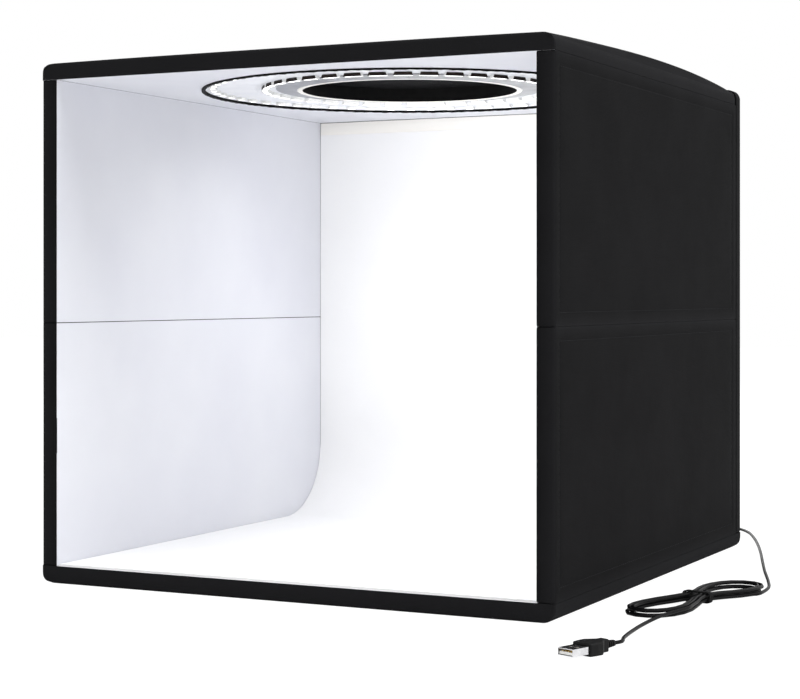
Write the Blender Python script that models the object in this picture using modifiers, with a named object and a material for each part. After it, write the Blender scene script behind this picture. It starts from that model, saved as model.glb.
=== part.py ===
"""A folding light tent, open at the front, with a ring light in its ceiling and a USB lead.

Seven padded panels fold flat: the two side walls crease inwards at mid height and carry the
ceiling down onto the floor panel, and the rear panel swings out behind. Each panel is a cloth
cover, drawn over a board, with a white liner on its inner face. A white backdrop hangs from the
ceiling and sweeps forward over the floor. X runs across the front, Y from front to back, Z up.
"""

import math

import bmesh
import bpy
from mathutils import Matrix, Vector

# The tent, standing open
TENT_WIDTH = 0.408
TENT_DEPTH = 0.422
TENT_HEIGHT = 0.385
PANEL_THICKNESS = 0.013

# What a panel is made of
COVER_WALL = 0.0016
LINER_THICKNESS = 0.001
LINER_INSET = 0.0008
EDGE_ROUNDING = 0.0028
FLAT_PANEL_SIDE_ROUNDING = 0.008
ROUNDING_SEGMENTS = 3

# Clearances
SEAT_GAP = 0.0003
FOLD_GAP = 0.0006
CUT_OVERRUN = 0.002

# Hook and loop strips that hold the rear panel to the walls
STRIP_THICKNESS = 0.001
STRIP_WIDTH = 0.009
STRIP_INSET = 0.012

# The camera hole and the ring light round it, in the ceiling
RING_CENTRE_X = 0.005
RING_CENTRE_Y = -0.018
HOLE_RADIUS = 0.085
TRIM_WALL = 0.0012
TRIM_LIP_WIDTH = 0.003
TRIM_LIP_THICKNESS = 0.0008
CEILING_INSET = 0.0002
REFLECTOR_OUTER_RADIUS = 0.1045
REFLECTOR_THICKNESS = 0.0006
REFLECTOR_RISE = 0.0014
RING_OUTER_RADIUS = 0.161
RING_BOARD_THICKNESS = 0.0016
LED_DEPTH = 0.005
LED_HEIGHT = 0.0024
LED_FOOT = 0.0004
INNER_LED_INSET = 0.0085
INNER_LED_WIDTH = 0.011
INNER_LED_COUNT = 40
OUTER_LED_INSET = 0.0065
OUTER_LED_WIDTH = 0.008
OUTER_LED_COUNT = 56
ROUND_SEGMENTS = 72

# The flap that covers the camera hole
FLAP_RADIUS = 0.0895
FLAP_HINGE_WIDTH = 0.05
FLAP_HINGE_LENGTH = 0.009
FLAP_HINGE_LIFT = 0.0004
FLAP_TAB_WIDTH = 0.022
FLAP_TAB_LENGTH = 0.014

# The backdrop
BACKDROP_THICKNESS = 0.0008
BACKDROP_SIDE_GAP = 0.0015
BACKDROP_SWEEP = 0.064
BACKDROP_FRONT_GAP = 0.004
BACKDROP_TOP_GAP = 0.0005
SWEEP_STEPS = 10
HEM_HEIGHT = 0.011
HEM_THICKNESS = 0.0012

# The lead inside the panels
LEAD_RADIUS = 0.0009
LEAD_BEND = 0.003

# The gland at the rear of the floor panel
GLAND_X = 0.118
GLAND_HEIGHT = 0.0078
GLAND_FLANGE_RADIUS = 0.0042
GLAND_FLANGE_THICKNESS = 0.0014
GLAND_NECK_RADIUS = 0.0028
GLAND_SLEEVE_RADIUS = 0.0026
GLAND_TIP_RADIUS = 0.0018
GLAND_SLEEVE_LENGTH = 0.012
GLAND_SEGMENTS = 24

# The USB lead outside. Its route was chosen by hand: down from the gland, out behind the tent,
# round the rear corner and forward along the floor
CORD_RADIUS = 0.0012
FLOOR_GAP = 0.00005
CORD_STEP = 0.0072
CORD_ROUTE = [
    (0.1181, 0.2400, 0.0060),
    (0.1186, 0.2540, 0.0024),
    (0.1200, 0.2720, 0.00125),
    (0.1245, 0.2960, 0.00125),
    (0.1350, 0.3180, 0.00125),
    (0.1510, 0.3300, 0.00125),
    (0.1690, 0.3240, 0.00125),
    (0.1840, 0.3030, 0.00125),
    (0.1990, 0.2680, 0.00125),
    (0.2140, 0.2270, 0.00125),
    (0.2300, 0.1790, 0.00125),
    (0.2465, 0.1260, 0.00125),
    (0.2625, 0.0750, 0.00125),
    (0.2785, 0.0270, 0.00125),
    (0.2875, -0.0050, 0.00125),
]

# The hank: loops that spiral in and out again in two layers, drawn in at the waist
HANK_X = 0.258
HANK_Y = -0.082
HANK_ANGLE = math.radians(78.5)
HANK_HALF_LENGTH = 0.0735
HANK_HALF_WIDTH = 0.0165
HANK_DRAWN_IN = 0.0146
HANK_WAIST_LENGTH = 0.034
HANK_FULLNESS = 1.5
HANK_STEP = 0.0031
HANK_LAYER_GAP = 0.0006
HANK_TURNS = 4.21
HANK_START_ANGLE = math.radians(-50)
NORMAL_STEP = 0.001
HANK_CLIMB_TURNS = 0.42
HANK_POINTS_A_TURN = 24

# The tie round the hank's waist
TIE_WIDTH = 0.0045
TIE_THICKNESS = 0.0009
TIE_CORNER = 0.0015
TIE_CORNER_STEPS = 4

# The lead's tail, from the hank to the plug
TAIL_ROUTE = [
    (0.2610, -0.1640, 0.0034),
    (0.2570, -0.1900, 0.0018),
    (0.2570, -0.2180, 0.0013),
    (0.2612, -0.2460, 0.0022),
]

# The plug, along its own X axis from the strain relief to the mouth
PLUG_X = 0.2675
PLUG_Y = -0.2750
PLUG_ANGLE = math.atan2(-0.94, -0.34)
RELIEF_LENGTH = 0.008
RELIEF_BACK_RADIUS = 0.0019
RELIEF_FRONT_RADIUS = 0.0027
RELIEF_RIBS = 3
RELIEF_RIB_HEIGHT = 0.0006
PLUG_BODY_HEIGHT = 0.0079
PLUG_BODY_LENGTH = 0.0215
PLUG_BODY_WIDTH = 0.0158
PLUG_FRONT_WIDTH = 0.0142
PLUG_COLLAR_WIDTH = 0.0068
PLUG_COLLAR_LENGTH = 0.0045
PLUG_SHOULDER_LENGTH = 0.0062
PLUG_TAPER_LENGTH = 0.0062
PLUG_EDGE = 0.0009
PLUG_EDGE_SEGMENTS = 2
SHELL_WIDTH = 0.012
SHELL_HEIGHT = 0.0045
SHELL_WALL = 0.0004
SHELL_LENGTH = 0.0165
SHELL_SEAT = 0.0022
WINDOW_SIZE = 0.0023
WINDOW_SPACING = 0.0046
WINDOW_FROM_MOUTH = 0.0062
TONGUE_HEIGHT = 0.0016
TONGUE_RECESS = 0.0008
CONTACT_WIDTH = 0.001
CONTACT_HEIGHT = 0.00025
CONTACT_PITCH = 0.00225
CONTACT_LENGTH = 0.008
CONTACT_COUNT = 4

# Places that several pieces share
HALF_WIDTH = TENT_WIDTH / 2
HALF_DEPTH = TENT_DEPTH / 2
REAR_GAP = 2 * (STRIP_THICKNESS + SEAT_GAP) + FOLD_GAP
REAR_PANEL_FACE = HALF_DEPTH - PANEL_THICKNESS
WALL_REAR = REAR_PANEL_FACE - REAR_GAP
CEILING = TENT_HEIGHT - PANEL_THICKNESS
CREASE = TENT_HEIGHT / 2
INNER_X = HALF_WIDTH - PANEL_THICKNESS
LINER_SEAT = LINER_THICKNESS + SEAT_GAP
BOARD_MARGIN = COVER_WALL + SEAT_GAP
LEAD_CHANNEL = 2 * (LEAD_RADIUS + SEAT_GAP)
WALL_LEAD_X = HALF_WIDTH - (PANEL_THICKNESS + COVER_WALL - LINER_SEAT) / 2
RING_BOARD_HEIGHT = CEILING + CEILING_INSET + LED_HEIGHT
RING_RECESS_TOP = RING_BOARD_HEIGHT + RING_BOARD_THICKNESS + SEAT_GAP
CEILING_LEAD_HEIGHT = CEILING + LINER_SEAT + SEAT_GAP + LEAD_RADIUS
FLAP_AXIS_Y = RING_CENTRE_Y - FLAP_RADIUS - FLAP_HINGE_LENGTH
GLAND_TIP_Y = HALF_DEPTH + SEAT_GAP + GLAND_FLANGE_THICKNESS + GLAND_SLEEVE_LENGTH
CORD_DIAMETER = 2 * CORD_RADIUS
CORD_HEIGHT = CORD_RADIUS + FLOOR_GAP
HANK_CENTRE = Vector((HANK_X, HANK_Y, 0.0))
HANK_DIRECTION = Vector((math.cos(HANK_ANGLE), math.sin(HANK_ANGLE), 0.0))
HANK_SIDE = Vector((-HANK_DIRECTION.y, HANK_DIRECTION.x, 0.0))
TIE_LIFT = TIE_THICKNESS + SEAT_GAP
PLUG_BACK = Vector((PLUG_X, PLUG_Y, PLUG_BODY_HEIGHT / 2 + FLOOR_GAP))
PLUG_DIRECTION = Vector((math.cos(PLUG_ANGLE), math.sin(PLUG_ANGLE), 0.0))


def emptied_scene():
    """Remove what the scene holds, and make a collection for the parts and one for cutters."""
    for old in list(bpy.data.objects):
        bpy.data.objects.remove(old, do_unlink=True)
    collections = []
    for name in ("light_tent", "light_tent_cutters"):
        collection = bpy.data.collections.new(name)
        bpy.context.scene.collection.children.link(collection)
        collections.append(collection)
    return collections


PARTS, CUTTERS = emptied_scene()


def material(name, colour, roughness, metallic=0.0):
    made = bpy.data.materials.new(name)
    made.use_nodes = True
    shader = made.node_tree.nodes["Principled BSDF"]
    shader.inputs["Base Color"].default_value = (*colour, 1.0)
    shader.inputs["Roughness"].default_value = roughness
    shader.inputs["Metallic"].default_value = metallic
    made.diffuse_color = (*colour, 1.0)
    return made


BLACK_CLOTH = material("black oxford cloth", (0.018, 0.018, 0.02), 0.75)
WHITE_LINER = material("white coated liner", (0.82, 0.83, 0.86), 0.45)
GREY_BOARD = material("grey stiffening board", (0.32, 0.32, 0.33), 0.7)
WHITE_SHEET = material("white backdrop sheet", (0.9, 0.9, 0.9), 0.5)
SILVER_FOIL = material("silver reflector", (0.62, 0.63, 0.65), 0.3, 0.9)
CIRCUIT_BOARD = material("white circuit board", (0.85, 0.86, 0.86), 0.5)
BLACK_HOOK = material("black hook and loop", (0.012, 0.012, 0.012), 0.95)
BLACK_PLASTIC = material("black flexible plastic", (0.02, 0.02, 0.021), 0.4)
BRIGHT_STEEL = material("bright plated steel", (0.72, 0.72, 0.74), 0.22, 1.0)
WHITE_PLASTIC = material("white insulator", (0.88, 0.88, 0.88), 0.45)
GOLD_CONTACT = material("gold contact", (0.85, 0.62, 0.25), 0.25, 1.0)


def pivot(name, place, turn=(0.0, 0.0, 0.0), parent=None):
    """An empty on a joint's axis, or where a group of pieces is built from.

    Under a parent, the place is given in the parent's own frame.
    """
    empty = bpy.data.objects.new(name, None)
    empty.empty_display_size = PANEL_THICKNESS
    empty.location = Vector(place)
    empty.rotation_euler = turn
    empty.parent = parent
    PARTS.objects.link(empty)
    return empty


def placed(name, bm, finish, parent=None, local=False, collection=PARTS):
    """Make an object of a mesh in the tent's frame, or in its parent's own frame if local."""
    if parent and not local:
        bmesh.ops.translate(bm, verts=bm.verts, vec=-parent.location)
    mesh = bpy.data.meshes.new(name)
    bm.normal_update()
    bm.to_mesh(mesh)
    bm.free()
    obj = bpy.data.objects.new(name, mesh)
    obj.parent = parent
    collection.objects.link(obj)
    if collection is CUTTERS:
        obj.hide_render = True
        obj.display_type = "WIRE"
    else:
        mesh.materials.append(finish)
    return obj


def slab(low, high):
    """A box between two corners."""
    bm = bmesh.new()
    bmesh.ops.create_cube(bm, size=1.0)
    for vertex in bm.verts:
        vertex.co = Vector(lo if c < 0 else hi for c, lo, hi in zip(vertex.co, low, high))
    return bm


def rounded_slab(low, high, rounding, axis, inner_side, side_rounding):
    """A box with every edge rounded but those of its flat face on the inner side of the axis.

    The edges that run from front to rear are rounded by the side rounding, the others less.
    """
    bm = slab(low, high)
    level = low[axis] if inner_side < 0 else high[axis]

    def off_the_inner_face(edge):
        return any(abs(v.co[axis] - level) > SEAT_GAP for v in edge.verts)

    sides = [e for e in bm.edges if off_the_inner_face(e)
             and abs(e.verts[0].co.y - e.verts[1].co.y) > SEAT_GAP]
    bmesh.ops.bevel(bm, geom=sides, offset=side_rounding, segments=ROUNDING_SEGMENTS,
                    profile=0.5, affect="EDGES")
    ends = [e for e in bm.edges if off_the_inner_face(e)
            and abs(e.verts[0].co.y - e.verts[1].co.y) < SEAT_GAP]
    bmesh.ops.bevel(bm, geom=ends, offset=rounding, segments=ROUNDING_SEGMENTS,
                    profile=0.5, affect="EDGES")
    return bm


def bar(start, end, radius, segments=ROUND_SEGMENTS):
    """A round solid between two points."""
    start, end = Vector(start), Vector(end)
    along = end - start
    place = Matrix.Translation((start + end) / 2)
    turn = along.to_track_quat("Z", "Y").to_matrix().to_4x4()
    bm = bmesh.new()
    bmesh.ops.create_cone(
        bm, cap_ends=True, segments=segments, radius1=radius, radius2=radius,
        depth=along.length, matrix=place @ turn,
    )
    return bm


def boolean(obj, other, operation):
    step = obj.modifiers.new(other.name, "BOOLEAN")
    step.operation = operation
    step.object = other
    step.solver = "EXACT"


def cut(obj, name, bm, local=False):
    """Cut a shape, given in the tent's frame unless local, out of an object."""
    boolean(obj, placed(name, bm, None, obj.parent, local, CUTTERS), "DIFFERENCE")


def turned(name, profile, finish, parent, steps=ROUND_SEGMENTS):
    """Turn a closed outline of (radius, height) round the parent's Z axis."""
    bm = bmesh.new()
    rim = [bm.verts.new((radius, 0.0, height)) for radius, height in profile]
    for a, b in zip(rim, rim[1:] + rim[:1]):
        bm.edges.new((a, b))
    obj = placed(name, bm, finish, parent, local=True)
    spin = obj.modifiers.new("turn", "SCREW")
    spin.steps = steps
    spin.render_steps = steps
    spin.use_merge_vertices = True
    spin.merge_threshold = 0.00001
    return obj


def tube(name, points, radius, finish, parent=None, resolution=2):
    """A round tube along a list of points in the tent's frame."""
    curve = bpy.data.curves.new(name, "CURVE")
    curve.dimensions = "3D"
    curve.bevel_depth = radius
    curve.bevel_resolution = resolution
    curve.use_fill_caps = True
    spline = curve.splines.new("POLY")
    spline.points.add(len(points) - 1)
    start = parent.location if parent else Vector()
    for point, place in zip(spline.points, points):
        point.co = (*(Vector(place) - start), 1.0)
    curve.materials.append(finish)
    obj = bpy.data.objects.new(name, curve)
    obj.parent = parent
    PARTS.objects.link(obj)
    return obj


def length_of(points):
    return sum((b - a).length for a, b in zip(points, points[1:]))


def spaced(points, step):
    """The same line, with its points evenly spaced about a step apart."""
    total = length_of(points)
    count = max(2, round(total / step))
    kept, gone = [points[0]], 0.0
    for a, b in zip(points, points[1:]):
        stretch = (b - a).length
        while len(kept) < count and gone + stretch >= total * len(kept) / count:
            kept.append(a.lerp(b, (total * len(kept) / count - gone) / stretch))
        gone += stretch
    return kept + [points[-1]]


def smooth(points, step):
    """Points about a step apart along one smooth curve through the points given."""
    points = [Vector(p) for p in points]
    ends = [2 * points[0] - points[1]] + points + [2 * points[-1] - points[-2]]
    fine = []
    for a, b, c, d in zip(ends, ends[1:], ends[2:], ends[3:]):
        count = max(2, round(6 * (c - b).length / step))
        for i in range(count):
            t = i / count
            fine.append(
                b + (c - a) * (t / 2)
                + (2 * a - 5 * b + 4 * c - d) * (t**2 / 2)
                + (3 * b - a - 3 * c + d) * (t**3 / 2)
            )
    return spaced(fine + [points[-1]], step)


def bent(corners, radius):
    """Straight runs between corners, with a bend at each."""
    corners = [Vector(c) for c in corners]
    line = [corners[0]]
    for before, corner, after in zip(corners, corners[1:], corners[2:]):
        start = corner + (before - corner).normalized() * radius
        end = corner + (after - corner).normalized() * radius
        for share in (0.0, 0.25, 0.5, 0.75, 1.0):
            line.append(start.lerp(corner, share).lerp(corner.lerp(end, share), share))
    return line + [corners[-1]]


# The panels

def panel(name, low, high, axis, outward, side_rounding, parent=None, channel=0.0):
    """A panel's cover, board and liner, in the box between two corners.

    The axis is the one across the panel's thickness, and outward is +1 or -1 along it. The
    channel is what the board leaves free along its rear edge for the lead.
    """
    outside = high[axis] if outward > 0 else low[axis]
    inside = low[axis] if outward > 0 else high[axis]
    seat = inside + outward * LINER_SEAT

    def layer(near, far, margin, rear=0.0):
        a, b = [c + margin for c in low], [c - margin for c in high]
        b[1] -= rear
        a[axis], b[axis] = min(near, far), max(near, far)
        return a, b

    def rounded(a, b, margin):
        return rounded_slab(a, b, EDGE_ROUNDING - margin, axis, -outward, side_rounding - margin)

    a, b = layer(outside, seat, 0.0)
    cover = placed(f"{name}_cover", rounded(a, b, 0.0), BLACK_CLOTH, parent)
    a, b = layer(outside - outward * COVER_WALL, seat - outward * CUT_OVERRUN, COVER_WALL)
    cut(cover, f"{name}_cover_hollow", rounded(a, b, COVER_WALL))
    a, b = layer(outside - outward * BOARD_MARGIN, seat, BOARD_MARGIN, channel)
    board = placed(f"{name}_board", rounded(a, b, BOARD_MARGIN), GREY_BOARD, parent)
    a, b = layer(inside, inside + outward * LINER_THICKNESS, LINER_INSET)
    liner = placed(f"{name}_liner", slab(a, b), WHITE_LINER, parent)
    return cover, board, liner


def floor_panel():
    low = (-HALF_WIDTH, -HALF_DEPTH, 0.0)
    high = (HALF_WIDTH, HALF_DEPTH, PANEL_THICKNESS)
    cover, _, _ = panel("floor", low, high, 2, -1, FLAT_PANEL_SIDE_ROUNDING,
                        channel=LEAD_CHANNEL)
    bore = bar((GLAND_X, HALF_DEPTH - COVER_WALL - SEAT_GAP, GLAND_HEIGHT),
               (GLAND_X, HALF_DEPTH + CUT_OVERRUN, GLAND_HEIGHT),
               GLAND_NECK_RADIUS + SEAT_GAP, GLAND_SEGMENTS)
    cut(cover, "gland_bore", bore)


def hook_strip(name, sign, bottom, top, front, parent):
    """A strip of hook and loop tape down one side, its front face at the depth given."""
    middle = sign * (HALF_WIDTH - PANEL_THICKNESS / 2)
    bm = slab((middle - STRIP_WIDTH / 2, front, bottom + STRIP_INSET),
              (middle + STRIP_WIDTH / 2, front + STRIP_THICKNESS, top - STRIP_INSET))
    placed(name, bm, BLACK_HOOK, parent)


def side_wall(side, sign, pivots):
    """One side wall, in two halves that crease at mid height."""
    near, far = sorted((sign * INNER_X, sign * HALF_WIDTH))
    halves = {
        "lower": (PANEL_THICKNESS + FOLD_GAP, CREASE - FOLD_GAP / 2),
        "upper": (CREASE + FOLD_GAP / 2, CEILING - FOLD_GAP),
    }
    for half, (bottom, top) in halves.items():
        parent = pivots[f"{side}_{half}"]
        panel(f"{side}_{half}_wall", (near, -HALF_DEPTH, bottom), (far, WALL_REAR, top),
              0, sign, EDGE_ROUNDING, parent, LEAD_CHANNEL if side == "right" else 0.0)
        hook_strip(f"{side}_{half}_hook_strip", sign, bottom, top, WALL_REAR + SEAT_GAP, parent)


def rear_panel(hinge):
    bottom = PANEL_THICKNESS + FOLD_GAP
    panel("rear", (-HALF_WIDTH, REAR_PANEL_FACE, bottom), (HALF_WIDTH, HALF_DEPTH, TENT_HEIGHT),
          1, 1, EDGE_ROUNDING, hinge)
    for side, sign in (("right", 1), ("left", -1)):
        hook_strip(f"rear_{side}_loop_strip", sign, bottom, CEILING,
                   REAR_PANEL_FACE - SEAT_GAP - STRIP_THICKNESS, hinge)


def ring_drum(radius, low, high):
    """A round solid about the ring light's centre."""
    return bar((RING_CENTRE_X, RING_CENTRE_Y, low), (RING_CENTRE_X, RING_CENTRE_Y, high), radius)


def ceiling_panel(hinge):
    """The ceiling, with the camera hole through it, the ring's recess and the flap's seat."""
    low = (-HALF_WIDTH, -HALF_DEPTH, CEILING)
    high = (HALF_WIDTH, WALL_REAR, TENT_HEIGHT)
    cover, board, liner = panel("ceiling", low, high, 2, 1, FLAT_PANEL_SIDE_ROUNDING, hinge,
                                LEAD_CHANNEL)
    above, below = TENT_HEIGHT + CUT_OVERRUN, CEILING - CUT_OVERRUN
    inner_level = TENT_HEIGHT - COVER_WALL - CUT_OVERRUN
    cut(cover, "flap_seat_round", ring_drum(FLAP_RADIUS + FOLD_GAP, inner_level, above))
    for name, (a, b) in flap_ears(FOLD_GAP, inner_level, above).items():
        cut(cover, f"flap_seat_{name}", slab(a, b))
    cut(board, "camera_hole", ring_drum(HOLE_RADIUS + SEAT_GAP, below, above))
    cut(board, "ring_recess", ring_drum(RING_OUTER_RADIUS + SEAT_GAP, below, RING_RECESS_TOP))
    groove = LEAD_RADIUS + SEAT_GAP
    cut(board, "lead_groove",
        slab((RING_CENTRE_X - groove, RING_CENTRE_Y + RING_OUTER_RADIUS - CUT_OVERRUN, below),
             (RING_CENTRE_X + groove, WALL_REAR, CEILING_LEAD_HEIGHT + groove)))
    cut(liner, "ring_opening", ring_drum(RING_OUTER_RADIUS + SEAT_GAP, below, above))


# The ring light

def led_rows(centre):
    """The LEDs of both rows, each with its foot in the circuit board."""
    height = LED_HEIGHT + LED_FOOT
    leds = bmesh.new()
    rows = ((REFLECTOR_OUTER_RADIUS + INNER_LED_INSET, INNER_LED_WIDTH, INNER_LED_COUNT),
            (RING_OUTER_RADIUS - OUTER_LED_INSET, OUTER_LED_WIDTH, OUTER_LED_COUNT))
    for radius, width, count in rows:
        for i in range(count):
            turn = Matrix.Rotation(2 * math.pi * i / count, 4, "Z")
            place = Matrix.Translation((radius, 0.0, CEILING + CEILING_INSET + height / 2))
            size = Matrix.Diagonal((LED_DEPTH, width, height, 1.0))
            bmesh.ops.create_cube(leds, size=1.0, matrix=turn @ place @ size)
    return placed("led_rows", leds, None, centre, local=True, collection=CUTTERS)


def ring_light(hinge):
    centre = pivot("ring_centre", Vector((RING_CENTRE_X, RING_CENTRE_Y, 0.0)) - hinge.location,
                   parent=hinge)
    floor = CEILING + CEILING_INSET
    top = RING_BOARD_HEIGHT + RING_BOARD_THICKNESS
    inner = HOLE_RADIUS + SEAT_GAP
    board = turned("ring_led_board",
                   [(RING_OUTER_RADIUS, top), (RING_OUTER_RADIUS, RING_BOARD_HEIGHT),
                    (inner, RING_BOARD_HEIGHT), (inner, top)], CIRCUIT_BOARD, centre)
    boolean(board, led_rows(centre), "UNION")
    lip = HOLE_RADIUS + TRIM_LIP_WIDTH
    bore = HOLE_RADIUS - TRIM_WALL
    trim_top = TENT_HEIGHT - BOARD_MARGIN
    turned("hole_trim", [(HOLE_RADIUS, trim_top), (HOLE_RADIUS, floor + TRIM_LIP_THICKNESS),
                         (lip, floor + TRIM_LIP_THICKNESS), (lip, floor),
                         (bore, floor), (bore, trim_top)], BLACK_CLOTH, centre)
    inside = lip + SEAT_GAP
    outside = REFLECTOR_OUTER_RADIUS
    raised = RING_BOARD_HEIGHT - SEAT_GAP - REFLECTOR_THICKNESS
    turned("reflector_ring",
           [(outside, raised + REFLECTOR_THICKNESS), (outside, raised),
            (inside, raised - REFLECTOR_RISE),
            (inside, raised - REFLECTOR_RISE + REFLECTOR_THICKNESS)], SILVER_FOIL, centre)


# The flap over the camera hole

def flap_ears(gap, low, high):
    """The boxes of the flap's hinge ear and pull tab, grown by a gap."""
    half_ear, half_tab = FLAP_HINGE_WIDTH / 2 + gap, FLAP_TAB_WIDTH / 2 + gap
    tab_end = RING_CENTRE_Y + FLAP_RADIUS + FLAP_TAB_LENGTH + gap
    return {
        "hinge_ear": ((RING_CENTRE_X - half_ear, FLAP_AXIS_Y + SEAT_GAP - gap, low),
                      (RING_CENTRE_X + half_ear, RING_CENTRE_Y, high)),
        "pull_tab": ((RING_CENTRE_X - half_tab, RING_CENTRE_Y, low),
                     (RING_CENTRE_X + half_tab, tab_end, high)),
    }


def camera_flap(hinge):
    low, high = TENT_HEIGHT - COVER_WALL, TENT_HEIGHT - SEAT_GAP
    flap = placed("camera_hole_flap", ring_drum(FLAP_RADIUS, low, high), BLACK_CLOTH, hinge)
    for name, (a, b) in flap_ears(0.0, low, high).items():
        boolean(flap, placed(f"flap_{name}", slab(a, b), None, hinge, collection=CUTTERS),
                "UNION")


# The backdrop

def backdrop():
    """A sheet that hangs at the back, turns forward in one sweep and lies over the floor."""
    rear = WALL_REAR - SEAT_GAP - BACKDROP_THICKNESS
    ground = PANEL_THICKNESS + SEAT_GAP + BACKDROP_THICKNESS
    top = CEILING - BACKDROP_TOP_GAP
    line = [(rear, top), (rear, ground + BACKDROP_SWEEP)]
    for i in range(1, SWEEP_STEPS + 1):
        angle = math.pi / 2 * i / SWEEP_STEPS
        line.append((rear - BACKDROP_SWEEP * (1 - math.cos(angle)),
                     ground + BACKDROP_SWEEP * (1 - math.sin(angle))))
    line.append((-HALF_DEPTH + BACKDROP_FRONT_GAP, ground))
    half = INNER_X - BACKDROP_SIDE_GAP
    bm = bmesh.new()
    rows = [[bm.verts.new((x, y, z)) for x in (-half, half)] for y, z in line]
    for (a, b), (c, d) in zip(rows, rows[1:]):
        bm.faces.new((a, c, d, b))
    sheet = placed("backdrop_sheet", bm, WHITE_SHEET)
    wall = sheet.modifiers.new("thickness", "SOLIDIFY")
    wall.thickness = BACKDROP_THICKNESS
    wall.offset = -1.0
    wall.use_even_offset = True
    front = rear - SEAT_GAP
    placed("backdrop_hem", slab((-half, front - HEM_THICKNESS, top - HEM_HEIGHT),
                                (half, front, top)), WHITE_SHEET)


# The lead inside the panels

def inner_leads(pivots):
    rear = LEAD_RADIUS + SEAT_GAP + COVER_WALL
    floor_y, wall_y = HALF_DEPTH - rear, WALL_REAR - rear
    x = WALL_LEAD_X
    tube("floor_lead", bent([(GLAND_X, floor_y, GLAND_HEIGHT), (x, floor_y, GLAND_HEIGHT),
                             (x, floor_y, PANEL_THICKNESS - LINER_SEAT - SEAT_GAP)],
                            LEAD_BEND), LEAD_RADIUS, BLACK_PLASTIC)
    inset = FOLD_GAP + EDGE_ROUNDING
    ends = {
        "right_lower": (PANEL_THICKNESS + inset, CREASE - inset),
        "right_upper": (CREASE + inset, CEILING - inset),
    }
    for body, (bottom, top) in ends.items():
        tube(f"{body}_lead", [(x, wall_y, bottom), (x, wall_y, top)], LEAD_RADIUS,
             BLACK_PLASTIC, pivots[body])
    z = CEILING_LEAD_HEIGHT
    ring_edge = RING_CENTRE_Y + RING_OUTER_RADIUS + SEAT_GAP
    tube("ceiling_lead", bent([(x, wall_y, z), (RING_CENTRE_X, wall_y, z),
                               (RING_CENTRE_X, ring_edge, z)], LEAD_RADIUS),
         LEAD_RADIUS, BLACK_PLASTIC, pivots["ceiling"])


# The USB lead outside

def gland():
    """A bush in the floor panel's rear edge, with a sleeve that tapers to the lead."""
    seat = pivot("gland_seat", (GLAND_X, HALF_DEPTH, GLAND_HEIGHT), (-math.pi / 2, 0.0, 0.0))
    flange = SEAT_GAP + GLAND_FLANGE_THICKNESS
    bm_profile = [
        (0.0, flange + GLAND_SLEEVE_LENGTH),
        (GLAND_TIP_RADIUS, flange + GLAND_SLEEVE_LENGTH),
        (GLAND_SLEEVE_RADIUS, flange),
        (GLAND_FLANGE_RADIUS, flange),
        (GLAND_FLANGE_RADIUS, SEAT_GAP),
        (GLAND_NECK_RADIUS, SEAT_GAP),
        (GLAND_NECK_RADIUS, -COVER_WALL),
        (0.0, -COVER_WALL),
    ]
    solid_of_revolution("cord_gland", bm_profile, BLACK_PLASTIC, seat)


def solid_of_revolution(name, profile, finish, parent, steps=GLAND_SEGMENTS):
    """Turn an outline that starts and ends on the parent's Z axis."""
    bm = bmesh.new()
    line = [bm.verts.new((radius, 0.0, height)) for radius, height in profile]
    for a, b in zip(line, line[1:]):
        bm.edges.new((a, b))
    obj = placed(name, bm, finish, parent, local=True)
    spin = obj.modifiers.new("turn", "SCREW")
    spin.steps = steps
    spin.render_steps = steps
    spin.use_merge_vertices = True
    spin.merge_threshold = 0.00001
    return obj


def waist_share(along):
    """How much of the waist's drawing in acts at a distance along the hank."""
    return math.exp(-((along / HANK_WAIST_LENGTH) ** 2))


def hank_outline(angle):
    """The innermost loop, along and across the hank."""
    along = math.cos(angle) * HANK_HALF_LENGTH
    width = HANK_HALF_WIDTH - HANK_DRAWN_IN * waist_share(along)
    across = math.tanh(HANK_FULLNESS * math.sin(angle)) / math.tanh(HANK_FULLNESS)
    return Vector((along, width * across))


def hank_point(turn):
    """The hank's centreline after so many turns, square out from the innermost loop."""
    angle = HANK_START_ANGLE - 2 * math.pi * turn
    middle = HANK_TURNS / 2
    way = hank_outline(angle + NORMAL_STEP) - hank_outline(angle - NORMAL_STEP)
    out = Vector((way.y, -way.x)).normalized()
    along, across = hank_outline(angle) + out * HANK_STEP * abs(turn - middle)
    climb = min(1.0, max(0.0, (turn - middle) / HANK_CLIMB_TURNS + 0.5))
    climb *= climb * (3 - 2 * climb)
    height = (CORD_HEIGHT + TIE_LIFT * waist_share(along)
              + (CORD_DIAMETER + HANK_LAYER_GAP) * climb)
    return HANK_CENTRE + HANK_DIRECTION * along + HANK_SIDE * across + Vector((0, 0, height))


def hank_line(points_a_turn):
    """The hank from end to end, each end running straight for one diameter."""
    count = round(HANK_TURNS * points_a_turn)
    line = [hank_point(HANK_TURNS * i / count) for i in range(count + 1)]
    start = (line[0] - line[1]).normalized() * CORD_DIAMETER
    end = (line[-1] - line[-2]).normalized() * CORD_DIAMETER
    return [line[0] + start] + line + [line[-1] + end]


def least_gap(line, radius):
    """The least gap between a tube's stretches, measured on points along it."""
    points = spaced(line, radius)
    apart = round(3 * math.pi)
    least = min(
        (a - b).length
        for i, a in enumerate(points)
        for b in points[i + apart:]
    )
    return least - 2 * radius


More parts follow.
